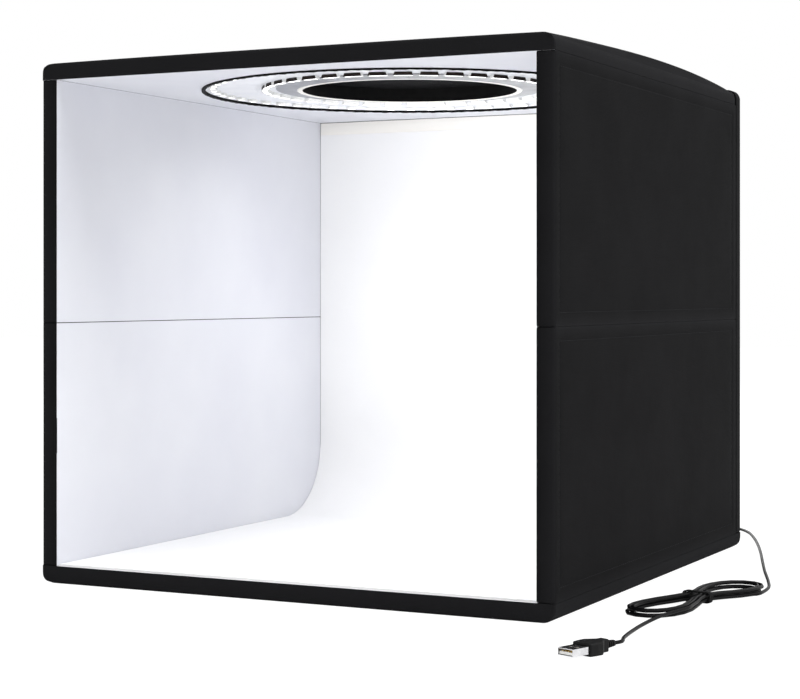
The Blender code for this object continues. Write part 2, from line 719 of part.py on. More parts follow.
def hank_tie(hank):
    """A flat band drawn round the hank's waist, as wide and as high as the loops there."""
    reach = TIE_WIDTH / 2 + CORD_RADIUS
    waist = [p for p in spaced(hank, CORD_RADIUS)
             if abs((p - HANK_CENTRE).dot(HANK_DIRECTION)) < reach]
    across = [(p - HANK_CENTRE).dot(HANK_SIDE) for p in waist]
    room = CORD_RADIUS + SEAT_GAP
    left, right = min(across) - room, max(across) + room
    bottom, top = FLOOR_GAP + TIE_THICKNESS, max(p.z for p in waist) + room
    quarters = ((right, bottom, -0.5), (right, top, 0.0), (left, top, 0.5), (left, bottom, 1.0))
    outline = []
    for x, z, start in quarters:
        middle_x = x - TIE_CORNER if x == right else x + TIE_CORNER
        middle_z = z + TIE_CORNER if z == bottom else z - TIE_CORNER
        for i in range(TIE_CORNER_STEPS + 1):
            angle = math.pi * (start + i / TIE_CORNER_STEPS / 2)
            outline.append((middle_x + TIE_CORNER * math.cos(angle),
                            middle_z + TIE_CORNER * math.sin(angle)))
    bm = bmesh.new()
    rings = []
    for end in (-TIE_WIDTH / 2, TIE_WIDTH / 2):
        rings.append([
            bm.verts.new(HANK_CENTRE + HANK_DIRECTION * end + HANK_SIDE * x + Vector((0, 0, z)))
            for x, z in outline
        ])
    for i in range(len(outline)):
        j = (i + 1) % len(outline)
        bm.faces.new((rings[0][i], rings[0][j], rings[1][j], rings[1][i]))
    band = placed("hank_tie", bm, BLACK_HOOK)
    wall = band.modifiers.new("thickness", "SOLIDIFY")
    wall.thickness = TIE_THICKNESS
    wall.offset = 1.0
    print(f"the tie is {(right - left) * 1000:.1f} mm wide and {(top - bottom) * 1000:.1f} high")


def usb_lead():
    """The free lead, the hank and the tail, which meet end to end, and the hank's tie."""
    hank = hank_line(HANK_POINTS_A_TURN)
    hank_tie(hank)
    way_in, way_out = (hank[1] - hank[0]).normalized(), (hank[-1] - hank[-2]).normalized()
    tip = Vector((GLAND_X, GLAND_TIP_Y + SEAT_GAP, GLAND_HEIGHT))
    run = [tip, tip + Vector((0.0, 2 * CORD_DIAMETER, 0.0))] + [Vector(p) for p in CORD_ROUTE]
    run += [hank[0] - way_in * (SEAT_GAP + 3 * CORD_DIAMETER), hank[0] - way_in * SEAT_GAP]
    tail = [hank[-1] + way_out * SEAT_GAP, hank[-1] + way_out * (SEAT_GAP + 3 * CORD_DIAMETER)]
    tail += [Vector(p) for p in TAIL_ROUTE]
    tail += [PLUG_BACK - PLUG_DIRECTION * (SEAT_GAP + 3 * CORD_DIAMETER),
             PLUG_BACK - PLUG_DIRECTION * SEAT_GAP]
    run, tail = smooth(run, CORD_STEP), smooth(tail, CORD_STEP)
    tube("cord_run", run, CORD_RADIUS, BLACK_PLASTIC)
    tube("cord_hank", hank, CORD_RADIUS, BLACK_PLASTIC, resolution=1)
    tube("cord_tail", tail, CORD_RADIUS, BLACK_PLASTIC)
    gap = least_gap(hank, CORD_RADIUS)
    print(f"least gap of the hank to itself: {gap * 1000:.2f} mm")
    lengths = [length_of(line) for line in (run, hank, tail)]
    print("lead: " + " + ".join(f"{x:.3f}" for x in lengths) + f" = {sum(lengths):.3f} m")
    print("hank's ends:", [round(c, 4) for c in (*hank[0], *hank[-1], *way_out)])


# The plug

def prism(outline, low, high):
    """A flat outline carried up from one height to another."""
    bm = bmesh.new()
    base = bm.faces.new([bm.verts.new((x, y, low)) for x, y in outline])
    risen = bmesh.ops.extrude_face_region(bm, geom=[base])["geom"]
    top = [v for v in risen if isinstance(v, bmesh.types.BMVert)]
    bmesh.ops.translate(bm, verts=top, vec=(0.0, 0.0, high - low))
    bmesh.ops.recalc_face_normals(bm, faces=bm.faces)
    return bm


def plug():
    at = pivot("plug_back", PLUG_BACK, (0.0, 0.0, PLUG_ANGLE))
    along = pivot("plug_relief_axis", (0.0, 0.0, 0.0), (0.0, math.pi / 2, 0.0), at)
    profile = [(0.0, RELIEF_LENGTH), (RELIEF_FRONT_RADIUS, RELIEF_LENGTH)]
    pitch = RELIEF_LENGTH / (RELIEF_RIBS + 1)
    for i in range(RELIEF_RIBS, 0, -1):
        share = i / (RELIEF_RIBS + 1)
        radius = RELIEF_BACK_RADIUS + (RELIEF_FRONT_RADIUS - RELIEF_BACK_RADIUS) * share
        low = radius - RELIEF_RIB_HEIGHT
        profile += [(low, (i + 0.5) * pitch), (low, (i + 0.2) * pitch),
                    (radius, (i + 0.1) * pitch), (radius, (i - 0.3) * pitch)]
    profile += [(RELIEF_BACK_RADIUS, 0.0), (0.0, 0.0)]
    solid_of_revolution("plug_strain_relief", profile, BLACK_PLASTIC, along)

    start = RELIEF_LENGTH + SEAT_GAP
    front = start + PLUG_BODY_LENGTH
    edge = [(start, PLUG_COLLAR_WIDTH / 2),
            (start + PLUG_COLLAR_LENGTH, PLUG_COLLAR_WIDTH / 2),
            (start + PLUG_COLLAR_LENGTH + PLUG_SHOULDER_LENGTH, PLUG_BODY_WIDTH / 2),
            (front - PLUG_TAPER_LENGTH, PLUG_BODY_WIDTH / 2),
            (front, PLUG_FRONT_WIDTH / 2)]
    outline = edge + [(x, -y) for x, y in reversed(edge)]
    body = placed("plug_body", prism(outline, -PLUG_BODY_HEIGHT / 2, PLUG_BODY_HEIGHT / 2),
                  BLACK_PLASTIC, at, local=True)
    bevel = body.modifiers.new("edges", "BEVEL")
    bevel.width = PLUG_EDGE
    bevel.segments = PLUG_EDGE_SEGMENTS
    bevel.limit_method = "ANGLE"
    bevel.angle_limit = math.radians(40)
    seat = front - SHELL_SEAT
    half_w, half_h = SHELL_WIDTH / 2, SHELL_HEIGHT / 2
    cut(body, "shell_seat",
        slab((seat - SEAT_GAP, -half_w - SEAT_GAP, -half_h - SEAT_GAP),
             (front + CUT_OVERRUN, half_w + SEAT_GAP, half_h + SEAT_GAP)), local=True)

    mouth = seat + SHELL_LENGTH
    in_w, in_h = half_w - SHELL_WALL, half_h - SHELL_WALL
    shell = placed("plug_shell", slab((seat, -half_w, -half_h), (mouth, half_w, half_h)),
                   BRIGHT_STEEL, at, local=True)
    cut(shell, "shell_bore", slab((seat - CUT_OVERRUN, -in_w, -in_h),
                                  (mouth + CUT_OVERRUN, in_w, in_h)), local=True)
    for side, sign in (("left", 1), ("right", -1)):
        middle = sign * WINDOW_SPACING / 2
        near = mouth - WINDOW_FROM_MOUTH - WINDOW_SIZE
        cut(shell, f"shell_{side}_window",
            slab((near, middle - WINDOW_SIZE / 2, 0.0),
                 (near + WINDOW_SIZE, middle + WINDOW_SIZE / 2, half_h + CUT_OVERRUN)), local=True)
    bed = -in_h + SEAT_GAP
    end = mouth - TONGUE_RECESS
    placed("plug_insulator", slab((seat, -in_w + SEAT_GAP, bed),
                                  (end, in_w - SEAT_GAP, bed + TONGUE_HEIGHT)),
           WHITE_PLASTIC, at, local=True)
    level = bed + TONGUE_HEIGHT + SEAT_GAP
    for i in range(CONTACT_COUNT):
        middle = CONTACT_PITCH * (i - (CONTACT_COUNT - 1) / 2)
        strip = slab((end - TONGUE_RECESS - CONTACT_LENGTH, middle - CONTACT_WIDTH / 2, level),
                     (end - TONGUE_RECESS, middle + CONTACT_WIDTH / 2, level + CONTACT_HEIGHT))
        placed(f"plug_contact_{i + 1}", strip, GOLD_CONTACT, at, local=True)


def hinge_pivots():
    """An empty on the axis of each hinge."""
    wall_hinge = FOLD_GAP / 2
    places = {}
    for side, sign in (("right", 1), ("left", -1)):
        places[f"{side}_lower"] = (sign * INNER_X, 0.0, PANEL_THICKNESS + wall_hinge)
        places[f"{side}_upper"] = (sign * (HALF_WIDTH + wall_hinge), 0.0, CREASE)
    places["ceiling"] = (INNER_X, 0.0, CEILING - wall_hinge)
    places["rear"] = (0.0, HALF_DEPTH + wall_hinge, PANEL_THICKNESS + wall_hinge)
    places["flap"] = (RING_CENTRE_X, FLAP_AXIS_Y, TENT_HEIGHT + FLAP_HINGE_LIFT)
    for name, place in places.items():
        print(f"{name} hinge at", [round(c, 5) for c in place])
    return {name: pivot(f"{name}_hinge", place) for name, place in places.items()}


def shade():
    """Shade the round pieces smooth."""
    for obj in PARTS.objects:
        if obj.type == "MESH":
            obj.data.shade_smooth()
            obj.data.set_sharp_from_angle(angle=math.radians(35))


def build():
    pivots = hinge_pivots()
    floor_panel()
    side_wall("right", 1, pivots)
    side_wall("left", -1, pivots)
    rear_panel(pivots["rear"])
    ceiling_panel(pivots["ceiling"])
    ring_light(pivots["ceiling"])
    camera_flap(pivots["flap"])
    backdrop()
    inner_leads(pivots)
    gland()
    usb_lead()
    plug()
    shade()


build()
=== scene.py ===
# %% [markdown]
# # A folding light tent
# The tent is nearly a cube, of seven flat panels. Each is a hollow board in a black cloth cover,
# with a white liner on its inner face. A white backdrop hangs at the back and sweeps forward over
# the floor, a ring of LEDs is let into the ceiling, and a USB lead comes out at the rear. The
# measured solids load first. They say where everything is, so each new piece is built round them.

import math

import bmesh
import bpy
from mathutils import Matrix, Vector, noise


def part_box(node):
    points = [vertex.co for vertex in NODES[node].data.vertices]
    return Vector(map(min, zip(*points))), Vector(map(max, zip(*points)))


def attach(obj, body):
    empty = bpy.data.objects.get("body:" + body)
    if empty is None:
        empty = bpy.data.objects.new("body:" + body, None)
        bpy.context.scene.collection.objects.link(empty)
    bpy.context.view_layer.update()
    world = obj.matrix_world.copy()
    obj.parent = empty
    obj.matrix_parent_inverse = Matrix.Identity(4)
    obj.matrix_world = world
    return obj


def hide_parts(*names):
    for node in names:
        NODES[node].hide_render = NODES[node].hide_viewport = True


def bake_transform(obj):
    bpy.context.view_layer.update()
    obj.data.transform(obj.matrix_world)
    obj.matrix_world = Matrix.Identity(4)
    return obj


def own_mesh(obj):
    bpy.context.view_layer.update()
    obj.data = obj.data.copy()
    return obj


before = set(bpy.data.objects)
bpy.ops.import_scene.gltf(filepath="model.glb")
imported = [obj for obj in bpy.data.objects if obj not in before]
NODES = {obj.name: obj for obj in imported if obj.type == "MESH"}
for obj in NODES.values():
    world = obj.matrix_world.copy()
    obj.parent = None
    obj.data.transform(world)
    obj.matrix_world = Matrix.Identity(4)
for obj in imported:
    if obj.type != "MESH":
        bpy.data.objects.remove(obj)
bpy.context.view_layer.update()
MM = 0.001
HOLE_X, HOLE_Y = 0.005, -0.018
WALL_HALVES = [(f"{side}_{half}", sign) for side, sign in (("right", 1), ("left", -1))
               for half in ("lower", "upper")]

# %% [markdown]
# The camera comes first. It stands to the right of the open front, level, a little above mid
# height, with a portrait lens. A level camera keeps the upright edges upright, and a small downward
# shift of the film frames the tent.

# %% The camera
CAMERA_PLACE = (0.6641, -1.3651, 0.2144)
CAMERA_TURN = math.radians(26.362)
bpy.ops.object.camera_add(location=CAMERA_PLACE, rotation=(math.radians(90), 0, CAMERA_TURN))
camera = bpy.context.object
camera.data.lens = 86.21
camera.data.shift_y = -0.0704
camera.data.clip_start = 0.01
bpy.context.scene.camera = camera
print("camera at", CAMERA_PLACE)

# %% [markdown]
# Blender's operators act on whatever is selected, so the first helpers keep that in order. Then
# come the steps that many pieces share. The last helper gives a finished piece its place in the
# tent: the body it moves with, the finish it wears and the measured solids it stands for.

# %% Helpers for every piece
def object_mode():
    bpy.ops.object.mode_set(mode="OBJECT")


def nothing_selected():
    if bpy.context.object and bpy.context.object.mode == "EDIT":
        object_mode()
    bpy.ops.object.select_all(action="DESELECT")


def chosen(piece):
    """Select one piece alone and make it the active one."""
    nothing_selected()
    piece.select_set(True)
    bpy.context.view_layer.objects.active = piece


def editing(piece):
    """Edit mode on one piece alone, with all of it selected."""
    chosen(piece)
    bpy.ops.object.mode_set(mode="EDIT")
    bpy.ops.mesh.select_all(action="SELECT")


def block(low, high):
    """A plain block between two corners."""
    nothing_selected()
    low, high = Vector(low), Vector(high)
    bpy.ops.mesh.primitive_cube_add(size=1.0, location=(low + high) / 2, scale=high - low)
    piece = bpy.context.object
    bpy.ops.object.transform_apply(location=True, rotation=True, scale=True)
    return piece


def flat_grid(across, up):
    """A square grid, a metre wide, with these numbers of fields."""
    nothing_selected()
    bpy.ops.mesh.primitive_grid_add(x_subdivisions=across, y_subdivisions=up, size=1.0)
    return bpy.context.object


def outlined(places, fill="NOTHING"):
    """A closed line through the places given. With the fill "NGON" it has a face."""
    nothing_selected()
    bpy.ops.mesh.primitive_circle_add(vertices=len(places), radius=1.0, fill_type=fill)
    piece = bpy.context.object
    for point, place in zip(piece.data.vertices, places):
        point.co = place
    return piece


def closed_outwards(piece):
    """Merge doubled points, turn every face outwards and leave edit mode."""
    editing(piece)
    bpy.ops.mesh.remove_doubles(threshold=0.01 * MM)
    bpy.ops.mesh.normals_make_consistent(inside=False)
    object_mode()
    return piece


def facing_out(piece, axis, level, outward):
    """Turn all faces over if those at a level of the axis look the wrong way."""
    total = sum(f.normal[axis] for f in piece.data.polygons
                if abs(f.center[axis] - level) < 2 * MM)
    if total * outward < 0:
        editing(piece)
        bpy.ops.mesh.flip_normals()
        object_mode()


def reshaped(piece, rule):
    for point in piece.data.vertices:
        point.co = rule(point.co.copy())
    piece.data.update()


def step_applied(piece, kind, **settings):
    """Add a modifier with its settings and apply it."""
    chosen(piece)
    step = piece.modifiers.new(kind.lower(), kind)
    for name, value in settings.items():
        setattr(step, name, value)
    bpy.ops.object.modifier_apply(modifier=step.name)


def smoothed(piece, degrees=40):
    chosen(piece)
    bpy.ops.object.shade_smooth_by_angle(angle=math.radians(degrees))
    return piece


def fitted(piece, name, body, slot, finishes, *stands_for):
    """Name a piece, give it its finishes and its body, and hide the solids it stands for."""
    piece.name = piece.data.name = name
    piece.data.materials.clear()
    for finish in finishes:
        piece.data.materials.append(finish)
    if body:
        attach(piece, body)
    if stands_for:
        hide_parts(*stands_for)
    print(name, [round(d / MM, 1) for d in piece.dimensions], "mm on", body)
    return piece


# %% [markdown]
# # Finishes
# Each finish starts from what the real surface is. Colours are written as sRGB hex, and one
# function turns them into the linear values that light is reckoned in.

# %% Colour and node helpers
WAVE_SPACING = 0.314  # metres between the bands of a wave texture whose scale is 1


def linear(text):
    levels = [int(text[i:i + 2], 16) / 255 for i in (1, 3, 5)]
    return [c / 12.92 if c <= 0.04045 else ((c + 0.055) / 1.055) ** 2.4 for c in levels] + [1.0]


def add_node(finish, kind, settings=None, inputs=None):
    """One shader node. An input takes a value, or the output of another node."""
    made = finish.node_tree.nodes.new("ShaderNode" + kind)
    for name, value in (settings or {}).items():
        setattr(made, name, value)
    for name, value in (inputs or {}).items():
        if isinstance(value, bpy.types.NodeSocket):
            finish.node_tree.links.new(value, made.inputs[name])
        else:
            made.inputs[name].default_value = value
    return made


def new_finish(name, **values):
    """A finish with its shader, and the shader's plain values."""
    finish = bpy.data.materials.new(name)
    finish.use_nodes = True
    shader = finish.node_tree.nodes["Principled BSDF"]
    for key, value in values.items():
        shader.inputs[key.replace("_", " ")].default_value = value
    return finish, shader


def joined(finish, output, socket):
    finish.node_tree.links.new(output, socket)


def coordinates(finish):
    """The piece's own coordinates, in metres."""
    return add_node(finish, "TexCoord").outputs["Object"]


def clouds(finish, where, scale, detail=3.0):
    """Soft noise, with the number of its patches in a metre."""
    return add_node(finish, "TexNoise", None,
                    {"Vector": where, "Scale": scale, "Detail": detail}).outputs["Fac"]


def mottled(finish, where, size, dark, light):
    """A colour that drifts between two shades over patches of about the size given, in mm."""
    ramp = add_node(finish, "ValToRGB", None, {"Fac": clouds(finish, where, 1 / (size * MM))})
    ramp.color_ramp.elements[0].position, ramp.color_ramp.elements[1].position = 0.3, 0.7
    ramp.color_ramp.elements[0].color = linear(dark)
    ramp.color_ramp.elements[1].color = linear(light)
    return ramp.outputs["Color"]


def mottled_finish(name, size, dark, light, **values):
    """A finish of a mottled colour, with its shader and its coordinates."""
    finish, shader = new_finish(name, **values)
    where = coordinates(finish)
    joined(finish, mottled(finish, where, size, dark, light), shader.inputs["Base Color"])
    return finish, shader, where


def ridges(finish, where, direction, spacing):
    """Waves along one axis, with their spacing in mm."""
    return add_node(finish, "TexWave", {"bands_direction": direction},
                    {"Vector": where, "Scale": WAVE_SPACING / (spacing * MM)}).outputs["Fac"]


def threads(finish, where, spacing):
    """Fine ridges along all three axes, so that each flat face shows two crossing sets."""
    total = 0.0
    for direction in "XYZ":
        one = ridges(finish, where, direction, spacing)
        total = add_node(finish, "Math", {"operation": "ADD"}, {0: total, 1: one}).outputs[0]
    return total


def bumped(finish, shader, height, depth, strength, under=None):
    """Relief with its depth in mm, laid over another one if that is given."""
    inputs = {"Height": height, "Distance": depth * MM, "Strength": strength}
    if under is not None:
        inputs["Normal"] = under
    bump = add_node(finish, "Bump", None, inputs).outputs["Normal"]
    joined(finish, bump, shader.inputs["Normal"])
    return bump


# %% [markdown]
# ## Black oxford cloth
# Polyester oxford is a plain weave of thick threads with a thin coating on its back. It takes
# almost no shine, so most of what it gives back is a dull grey haze from the fibres. The threads
# are about 0.5 mm apart, which is too fine to show here, so they are drawn 1.1 mm apart. Over its
# rounded edges the cloth is painted lighter, a painted highlight, and it is a little lighter along
# the sewn seam. A point value on each cover says how much of that lighter colour it takes.

# %% Woven cloth
def woven_cloth(name, dark, light, highlight_colour):
    finish, shader = new_finish(name, Roughness=0.85, IOR=1.5, Specular_IOR_Level=0.04)
    where = coordinates(finish)
    shade = mottled(finish, where, 45, dark, light)
    # The point value read here sets the painted highlight: the lighter colour on rounded edges.
    edge_highlight = add_node(finish, "Attribute", {"attribute_name": "edge_highlight"}).outputs["Fac"]
    colour = add_node(finish, "Mix", {"data_type": "RGBA"}, {0: edge_highlight, 6: shade, 7: linear(highlight_colour)})
    joined(finish, colour.outputs[2], shader.inputs["Base Color"])
    soft = bumped(finish, shader, clouds(finish, where, 60.0, 4.0), 0.5, 0.35)
    bumped(finish, shader, threads(finish, where, 1.1), 0.12, 0.32, soft)
    return finish


# The last colour is the painted highlight on the covers' rounded edges.
BLACK_CLOTH = woven_cloth("black oxford cloth", "#121213", "#161617", "#252527")
THREAD, shader = new_finish("black polyester thread", Base_Color=linear("#1d1d1f"),
                            Roughness=0.7, Specular_IOR_Level=0.08)
twist = add_node(THREAD, "TexWave", {"bands_direction": "DIAGONAL"},
                 {"Vector": coordinates(THREAD), "Scale": 700.0})
bumped(THREAD, shader, twist.outputs["Fac"], 0.05, 0.6)

# %% [markdown]
# ## White liners and the backdrop
# The liners are a smooth coated cloth with a cool, pearly white. The backdrop is a thin sheet of
# matt white plastic, so that it gives an even white with no seam.

# %% White finishes
def white_sheeting(name, dark, light, roughness, grain):
    finish, shader, where = mottled_finish(name, 120, dark, light, Roughness=roughness, IOR=1.46,
                                           Specular_IOR_Level=0.4)
    soft = bumped(finish, shader, clouds(finish, where, 1 / (grain * MM)), 0.05, 0.4)
    bumped(finish, shader, threads(finish, where, 1.4), 0.03, 0.25, soft)
    return finish


WHITE_LINER = white_sheeting("coated pearl white lining", "#dedfe6", "#e6e7ec", 0.5, 1.5)
WHITE_SHEET = white_sheeting("matt white backdrop sheet", "#f6f6f6", "#fbfbfb", 0.6, 0.8)
CREAM_TAPE = white_sheeting("cream binding tape", "#f8f5ee", "#fcfaf5", 0.7, 0.6)

# %% [markdown]
# ## Inside the panels, and the tapes
# The stiffening board is grey polypropylene with hollow flutes a few millimetres apart. Hook and
# loop tape is a black nylon pile, rougher than anything else here.

# %% Board, hook and loop tape
HOLLOW_BOARD, shader, where = mottled_finish("grey fluted polypropylene", 60, "#8f9092",
                                             "#999a9c", Roughness=0.5, IOR=1.49)
bumped(HOLLOW_BOARD, shader, ridges(HOLLOW_BOARD, where, "X", 4), 0.3, 0.5)

HOOK_TAPE, shader, where = mottled_finish("black nylon hook and loop pile", 3, "#0b0b0c",
                                          "#161617", Roughness=0.95, Specular_IOR_Level=0.15)
pile = add_node(HOOK_TAPE, "TexVoronoi", None, {"Vector": where, "Scale": 1100.0})
bumped(HOOK_TAPE, shader, pile.outputs["Distance"], 0.35, 0.9)

# %% [markdown]
# ## Moulded plastic
# Housings, jackets and grips are moulded in a textured tool, so they share one recipe: a colour
# that hardly varies, and a fine grain pressed into the surface, with its size and depth in mm.

# %% Moulded plastic
def moulded_plastic(name, dark, light, roughness, grain, depth, shine=0.32):
    finish, shader, where = mottled_finish(name, 6, dark, light, Roughness=roughness, IOR=1.52,
                                           Specular_IOR_Level=shine)
    bumped(finish, shader, clouds(finish, where, 1 / (grain * MM), 2.0), depth, 0.5)
    return finish


# %% [markdown]
# ## The ring light
# The LEDs sit on a white painted circuit board. Their lenses glow. The board is given a faint glow
# of its own, painted light that stands in for their stray light. Round the hole a sheet of satin
# aluminium foil throws light down again, and its embossing breaks up what it mirrors.

# %% Ring light finishes
# The board's faint emission is painted light, standing in for the LEDs' stray light.
WHITE_BOARD = mottled_finish("white solder mask", 25, "#eceef2", "#f7f8fa", Roughness=0.35,
                             IOR=1.5, Emission_Color=linear("#f4f6ff"), Emission_Strength=0.04)[0]
LED_LENS, shader = new_finish("glowing LED lens", Base_Color=linear("#fffdf6"), Roughness=0.3,
                              Emission_Strength=3.0)
joined(LED_LENS, mottled(LED_LENS, coordinates(LED_LENS), 2, "#f4f4fa", "#ffffff"),
       shader.inputs["Emission Color"])
LED_WHITE = moulded_plastic("white LED housing", "#efefec", "#f7f7f4", 0.4, 0.5, 0.02)
LED_DARK = moulded_plastic("brown black LED back", "#1a1512", "#2a221d", 0.55, 0.6, 0.04, 0.12)
RIM_BLACK = moulded_plastic("black moulded rim", "#080808", "#0e0e0e", 0.7, 0.6, 0.04, 0.1)
FOIL, shader, where = mottled_finish("satin embossed aluminium foil", 30, "#8e8f91", "#b4b5b7",
                                     Metallic=1.0, Roughness=0.34)
dimples = add_node(FOIL, "TexVoronoi", None, {"Vector": where, "Scale": 400.0})
bumped(FOIL, shader, dimples.outputs["Distance"], 0.25, 0.5)

# %% [markdown]
# ## The lead and its plug
# The lead's jacket and the plug's overmould are soft black PVC: the jacket fairly smooth, the
# overmould spark-eroded to a fine texture. The shell is bright nickel on steel, the tongue inside
# is a white nylon, and the four contacts are gold plated.

# %% Lead and plug finishes
def plated_metal(name, dark, light, roughness):
    finish, shader, where = mottled_finish(name, 4, dark, light, Metallic=1.0, Roughness=roughness)
    bumped(finish, shader, clouds(finish, where, 900.0, 2.0), 0.02, 0.5)
    return finish


SOFT_PVC = moulded_plastic("soft black PVC jacket", "#060607", "#0a0a0b", 0.38, 0.5, 0.02, 0.07)
OVERMOULD = moulded_plastic("eroded black PVC overmould", "#0d0d0e", "#141415", 0.5, 0.35, 0.06,
                            0.1)
NYLON = moulded_plastic("white moulded nylon", "#e9e9e6", "#f1f1ee", 0.45, 0.5, 0.02)
NICKEL = plated_metal("bright nickel plate", "#c9c9cb", "#dedee0", 0.2)
GOLD = plated_metal("gold plate", "#d9b25a", "#e8c67a", 0.25)

# %% Finishes of the measured solids
BY_NAME = {
    "plug_shell": NICKEL, "plug_insulator": NYLON, "plug_strain_relief": OVERMOULD,
    "plug_body": OVERMOULD, "cord_gland": OVERMOULD, "hank_tie": HOOK_TAPE, "hole_trim": RIM_BLACK,
    "backdrop_sheet": WHITE_SHEET, "backdrop_hem": WHITE_SHEET, "reflector_ring": FOIL,
    "ring_led_board": WHITE_BOARD, "camera_hole_flap": BLACK_CLOTH,
}
BY_LAST_WORD = {"board": HOLLOW_BOARD, "liner": WHITE_LINER, "strip": HOOK_TAPE,
                "cover": BLACK_CLOTH}
for name, solid in NODES.items():
    other = GOLD if name.startswith("plug_contact") else SOFT_PVC
    kept = BY_NAME.get(name) or BY_LAST_WORD.get(name.split("_")[-1], other)
    for slot in solid.material_slots:
        slot.material = kept
print("finishes:", len(bpy.data.materials))


def in_black_cloth(piece, name, body, *stands_for):
    return fitted(piece, name, body, "black_cloth", [BLACK_CLOTH], *stands_for)



# %% [markdown]
# # The USB lead
# The lead is 2.4 mm thick and limp. It leaves a gland low at the rear, comes down to the table
# in a few centimetres, swings out behind the right rear corner and runs forward beside the tent.
# The spare length is wound into a hank: loops that spiral in and then out again on top, pinched at
# the waist by a tie. A short tail ends in the plug. The curve is the lead's real centreline, with
# a round bevel.

# %% The lead's route from the gland to the hank, and from the hank to the plug
GLAND_TIP = Vector((0.118, 0.225, 0.0078))
CORD_RADIUS = 1.2 * MM
ON_TABLE = CORD_RADIUS + 0.05 * MM
ROUTE = [(0.1181, 0.24, 0.006), (0.1186, 0.254, 0.0024)] + [(x, y, ON_TABLE) for x, y in (
    (0.12, 0.272), (0.1245, 0.296), (0.135, 0.318), (0.151, 0.33), (0.169, 0.324),
    (0.184, 0.303), (0.199, 0.268), (0.214, 0.227), (0.23, 0.179), (0.2465, 0.126),
    (0.2625, 0.075), (0.2785, 0.027), (0.2875, -0.005))]
TAIL = [(0.261, -0.164, 0.0034), (0.2576, -0.19, 0.0018), (0.2588, -0.218, 0.0013),
        (0.2634, -0.2455, 0.0022)]
PLUG_BACK = Vector((0.2675, -0.275, 0.004))
PLUG_WAY = Vector((-0.34, -0.94, 0.0)).normalized()

# %% The hank's winding
HANK_CENTRE = Vector((0.258, -0.082, 0.0))
HANK_WAY = Matrix.Rotation(math.radians(78.5), 3, "Z") @ Vector((1, 0, 0))
HANK_SIDE = Vector((-HANK_WAY.y, HANK_WAY.x, 0.0))
LOOPS, LOOP_PITCH = 4.21, 3.1 * MM
HALF_LENGTH, HALF_WIDTH, WAIST_LENGTH, WAIST_HALF = 73.5 * MM, 16.5 * MM, 34 * MM, 1.9 * MM
TIE_LIFT, SECOND_LAYER = 1.2 * MM, 3 * MM


def waist(along):
    return math.exp(-((along / WAIST_LENGTH) ** 2))


def inner_loop(angle):
    """The innermost loop, along and across the hank, drawn in at its waist."""
    along = math.cos(angle) * HALF_LENGTH
    half = HALF_WIDTH - (HALF_WIDTH - WAIST_HALF) * waist(along)
    return Vector((along, half * math.tanh(1.5 * math.sin(angle)) / math.tanh(1.5)))


def hank_place(loop):
    angle = math.radians(-50) - 2 * math.pi * loop
    way = inner_loop(angle + 0.001) - inner_loop(angle - 0.001)
    out = Vector((way.y, -way.x)).normalized()
    along, across = inner_loop(angle) + out * LOOP_PITCH * abs(loop - LOOPS / 2)
    climb = min(1.0, max(0.0, (loop - LOOPS / 2) / 0.42 + 0.5))
    climb *= climb * (3 - 2 * climb)
    height = ON_TABLE + TIE_LIFT * waist(along) + SECOND_LAYER * climb
    return HANK_CENTRE + HANK_WAY * along + HANK_SIDE * across + Vector((0, 0, height))


HANK_POINTS = round(LOOPS * 30)
hank = [hank_place(LOOPS * i / HANK_POINTS) for i in range(HANK_POINTS + 1)]

# %% One smooth curve
def through(points, step):
    """Points about a step apart on a smooth line through the points given."""
    points = [Vector(p) for p in points]
    ends = [2 * points[0] - points[1]] + points + [2 * points[-1] - points[-2]]
    line = []
    for a, b, c, d in zip(ends, ends[1:], ends[2:], ends[3:]):
        count = max(2, round((c - b).length / step))
        for t in (i / count for i in range(count)):
            line.append(b + (c - a) * (t / 2) + (2 * a - 5 * b + 4 * c - d) * (t**2 / 2)
                        + (3 * b - a - 3 * c + d) * (t**3 / 2))
    return line + [points[-1]]


LEAD_IN = 7.5 * MM
way_in, way_out = (hank[1] - hank[0]).normalized(), (hank[-1] - hank[-2]).normalized()
run = through([GLAND_TIP - Vector((0, 1.5 * MM, 0)), GLAND_TIP + Vector((0, 4.8 * MM, 0)), *ROUTE,
               hank[0] - way_in * LEAD_IN, hank[0]], 3.5 * MM)
tail = through([hank[-1], hank[-1] + way_out * LEAD_IN, *TAIL,
                PLUG_BACK - PLUG_WAY * LEAD_IN, PLUG_BACK + PLUG_WAY * 1.5 * MM], 3.5 * MM)
lead_line = run[:-1] + hank + tail[1:]
lead_curve = bpy.data.curves.new("usb_lead", "CURVE")
lead_curve.dimensions = "3D"
lead_curve.bevel_depth = CORD_RADIUS
lead_curve.bevel_resolution = 4
lead_curve.use_fill_caps = True
spline = lead_curve.splines.new("POLY")
spline.points.add(len(lead_line) - 1)
for point, place in zip(spline.points, lead_line):
    point.co = (*place, 1.0)
spline.use_smooth = True
usb_lead = bpy.data.objects.new("usb_lead", lead_curve)
bpy.context.scene.collection.objects.link(usb_lead)
fitted(usb_lead, "usb_lead", "base", "black_lead", [SOFT_PVC], "cord_run", "cord_hank",
       "cord_tail")

# %% [markdown]
# # Cloth covers
# A cover is drawn over the outer face and the four sides of its board and is open on the side of
# the liner. It starts as a flat grid. The grid is extruded inwards for the four sides, sliced a
# few times across them, and its points are moved: the grid lines crowd together at the edges and
# at the sewn seam, the edges are rounded, the seam sinks, and the cloth puckers a little along
# it. A Solidify modifier then gives the cloth its thickness.

# %% A cover's grid lines
CLOTH_THICKNESS = 1.2 * MM
SEAM_INSET = 9.0 * MM
RIM_DEPTH = 1.25 * MM
GRID_STEP = 7 * MM


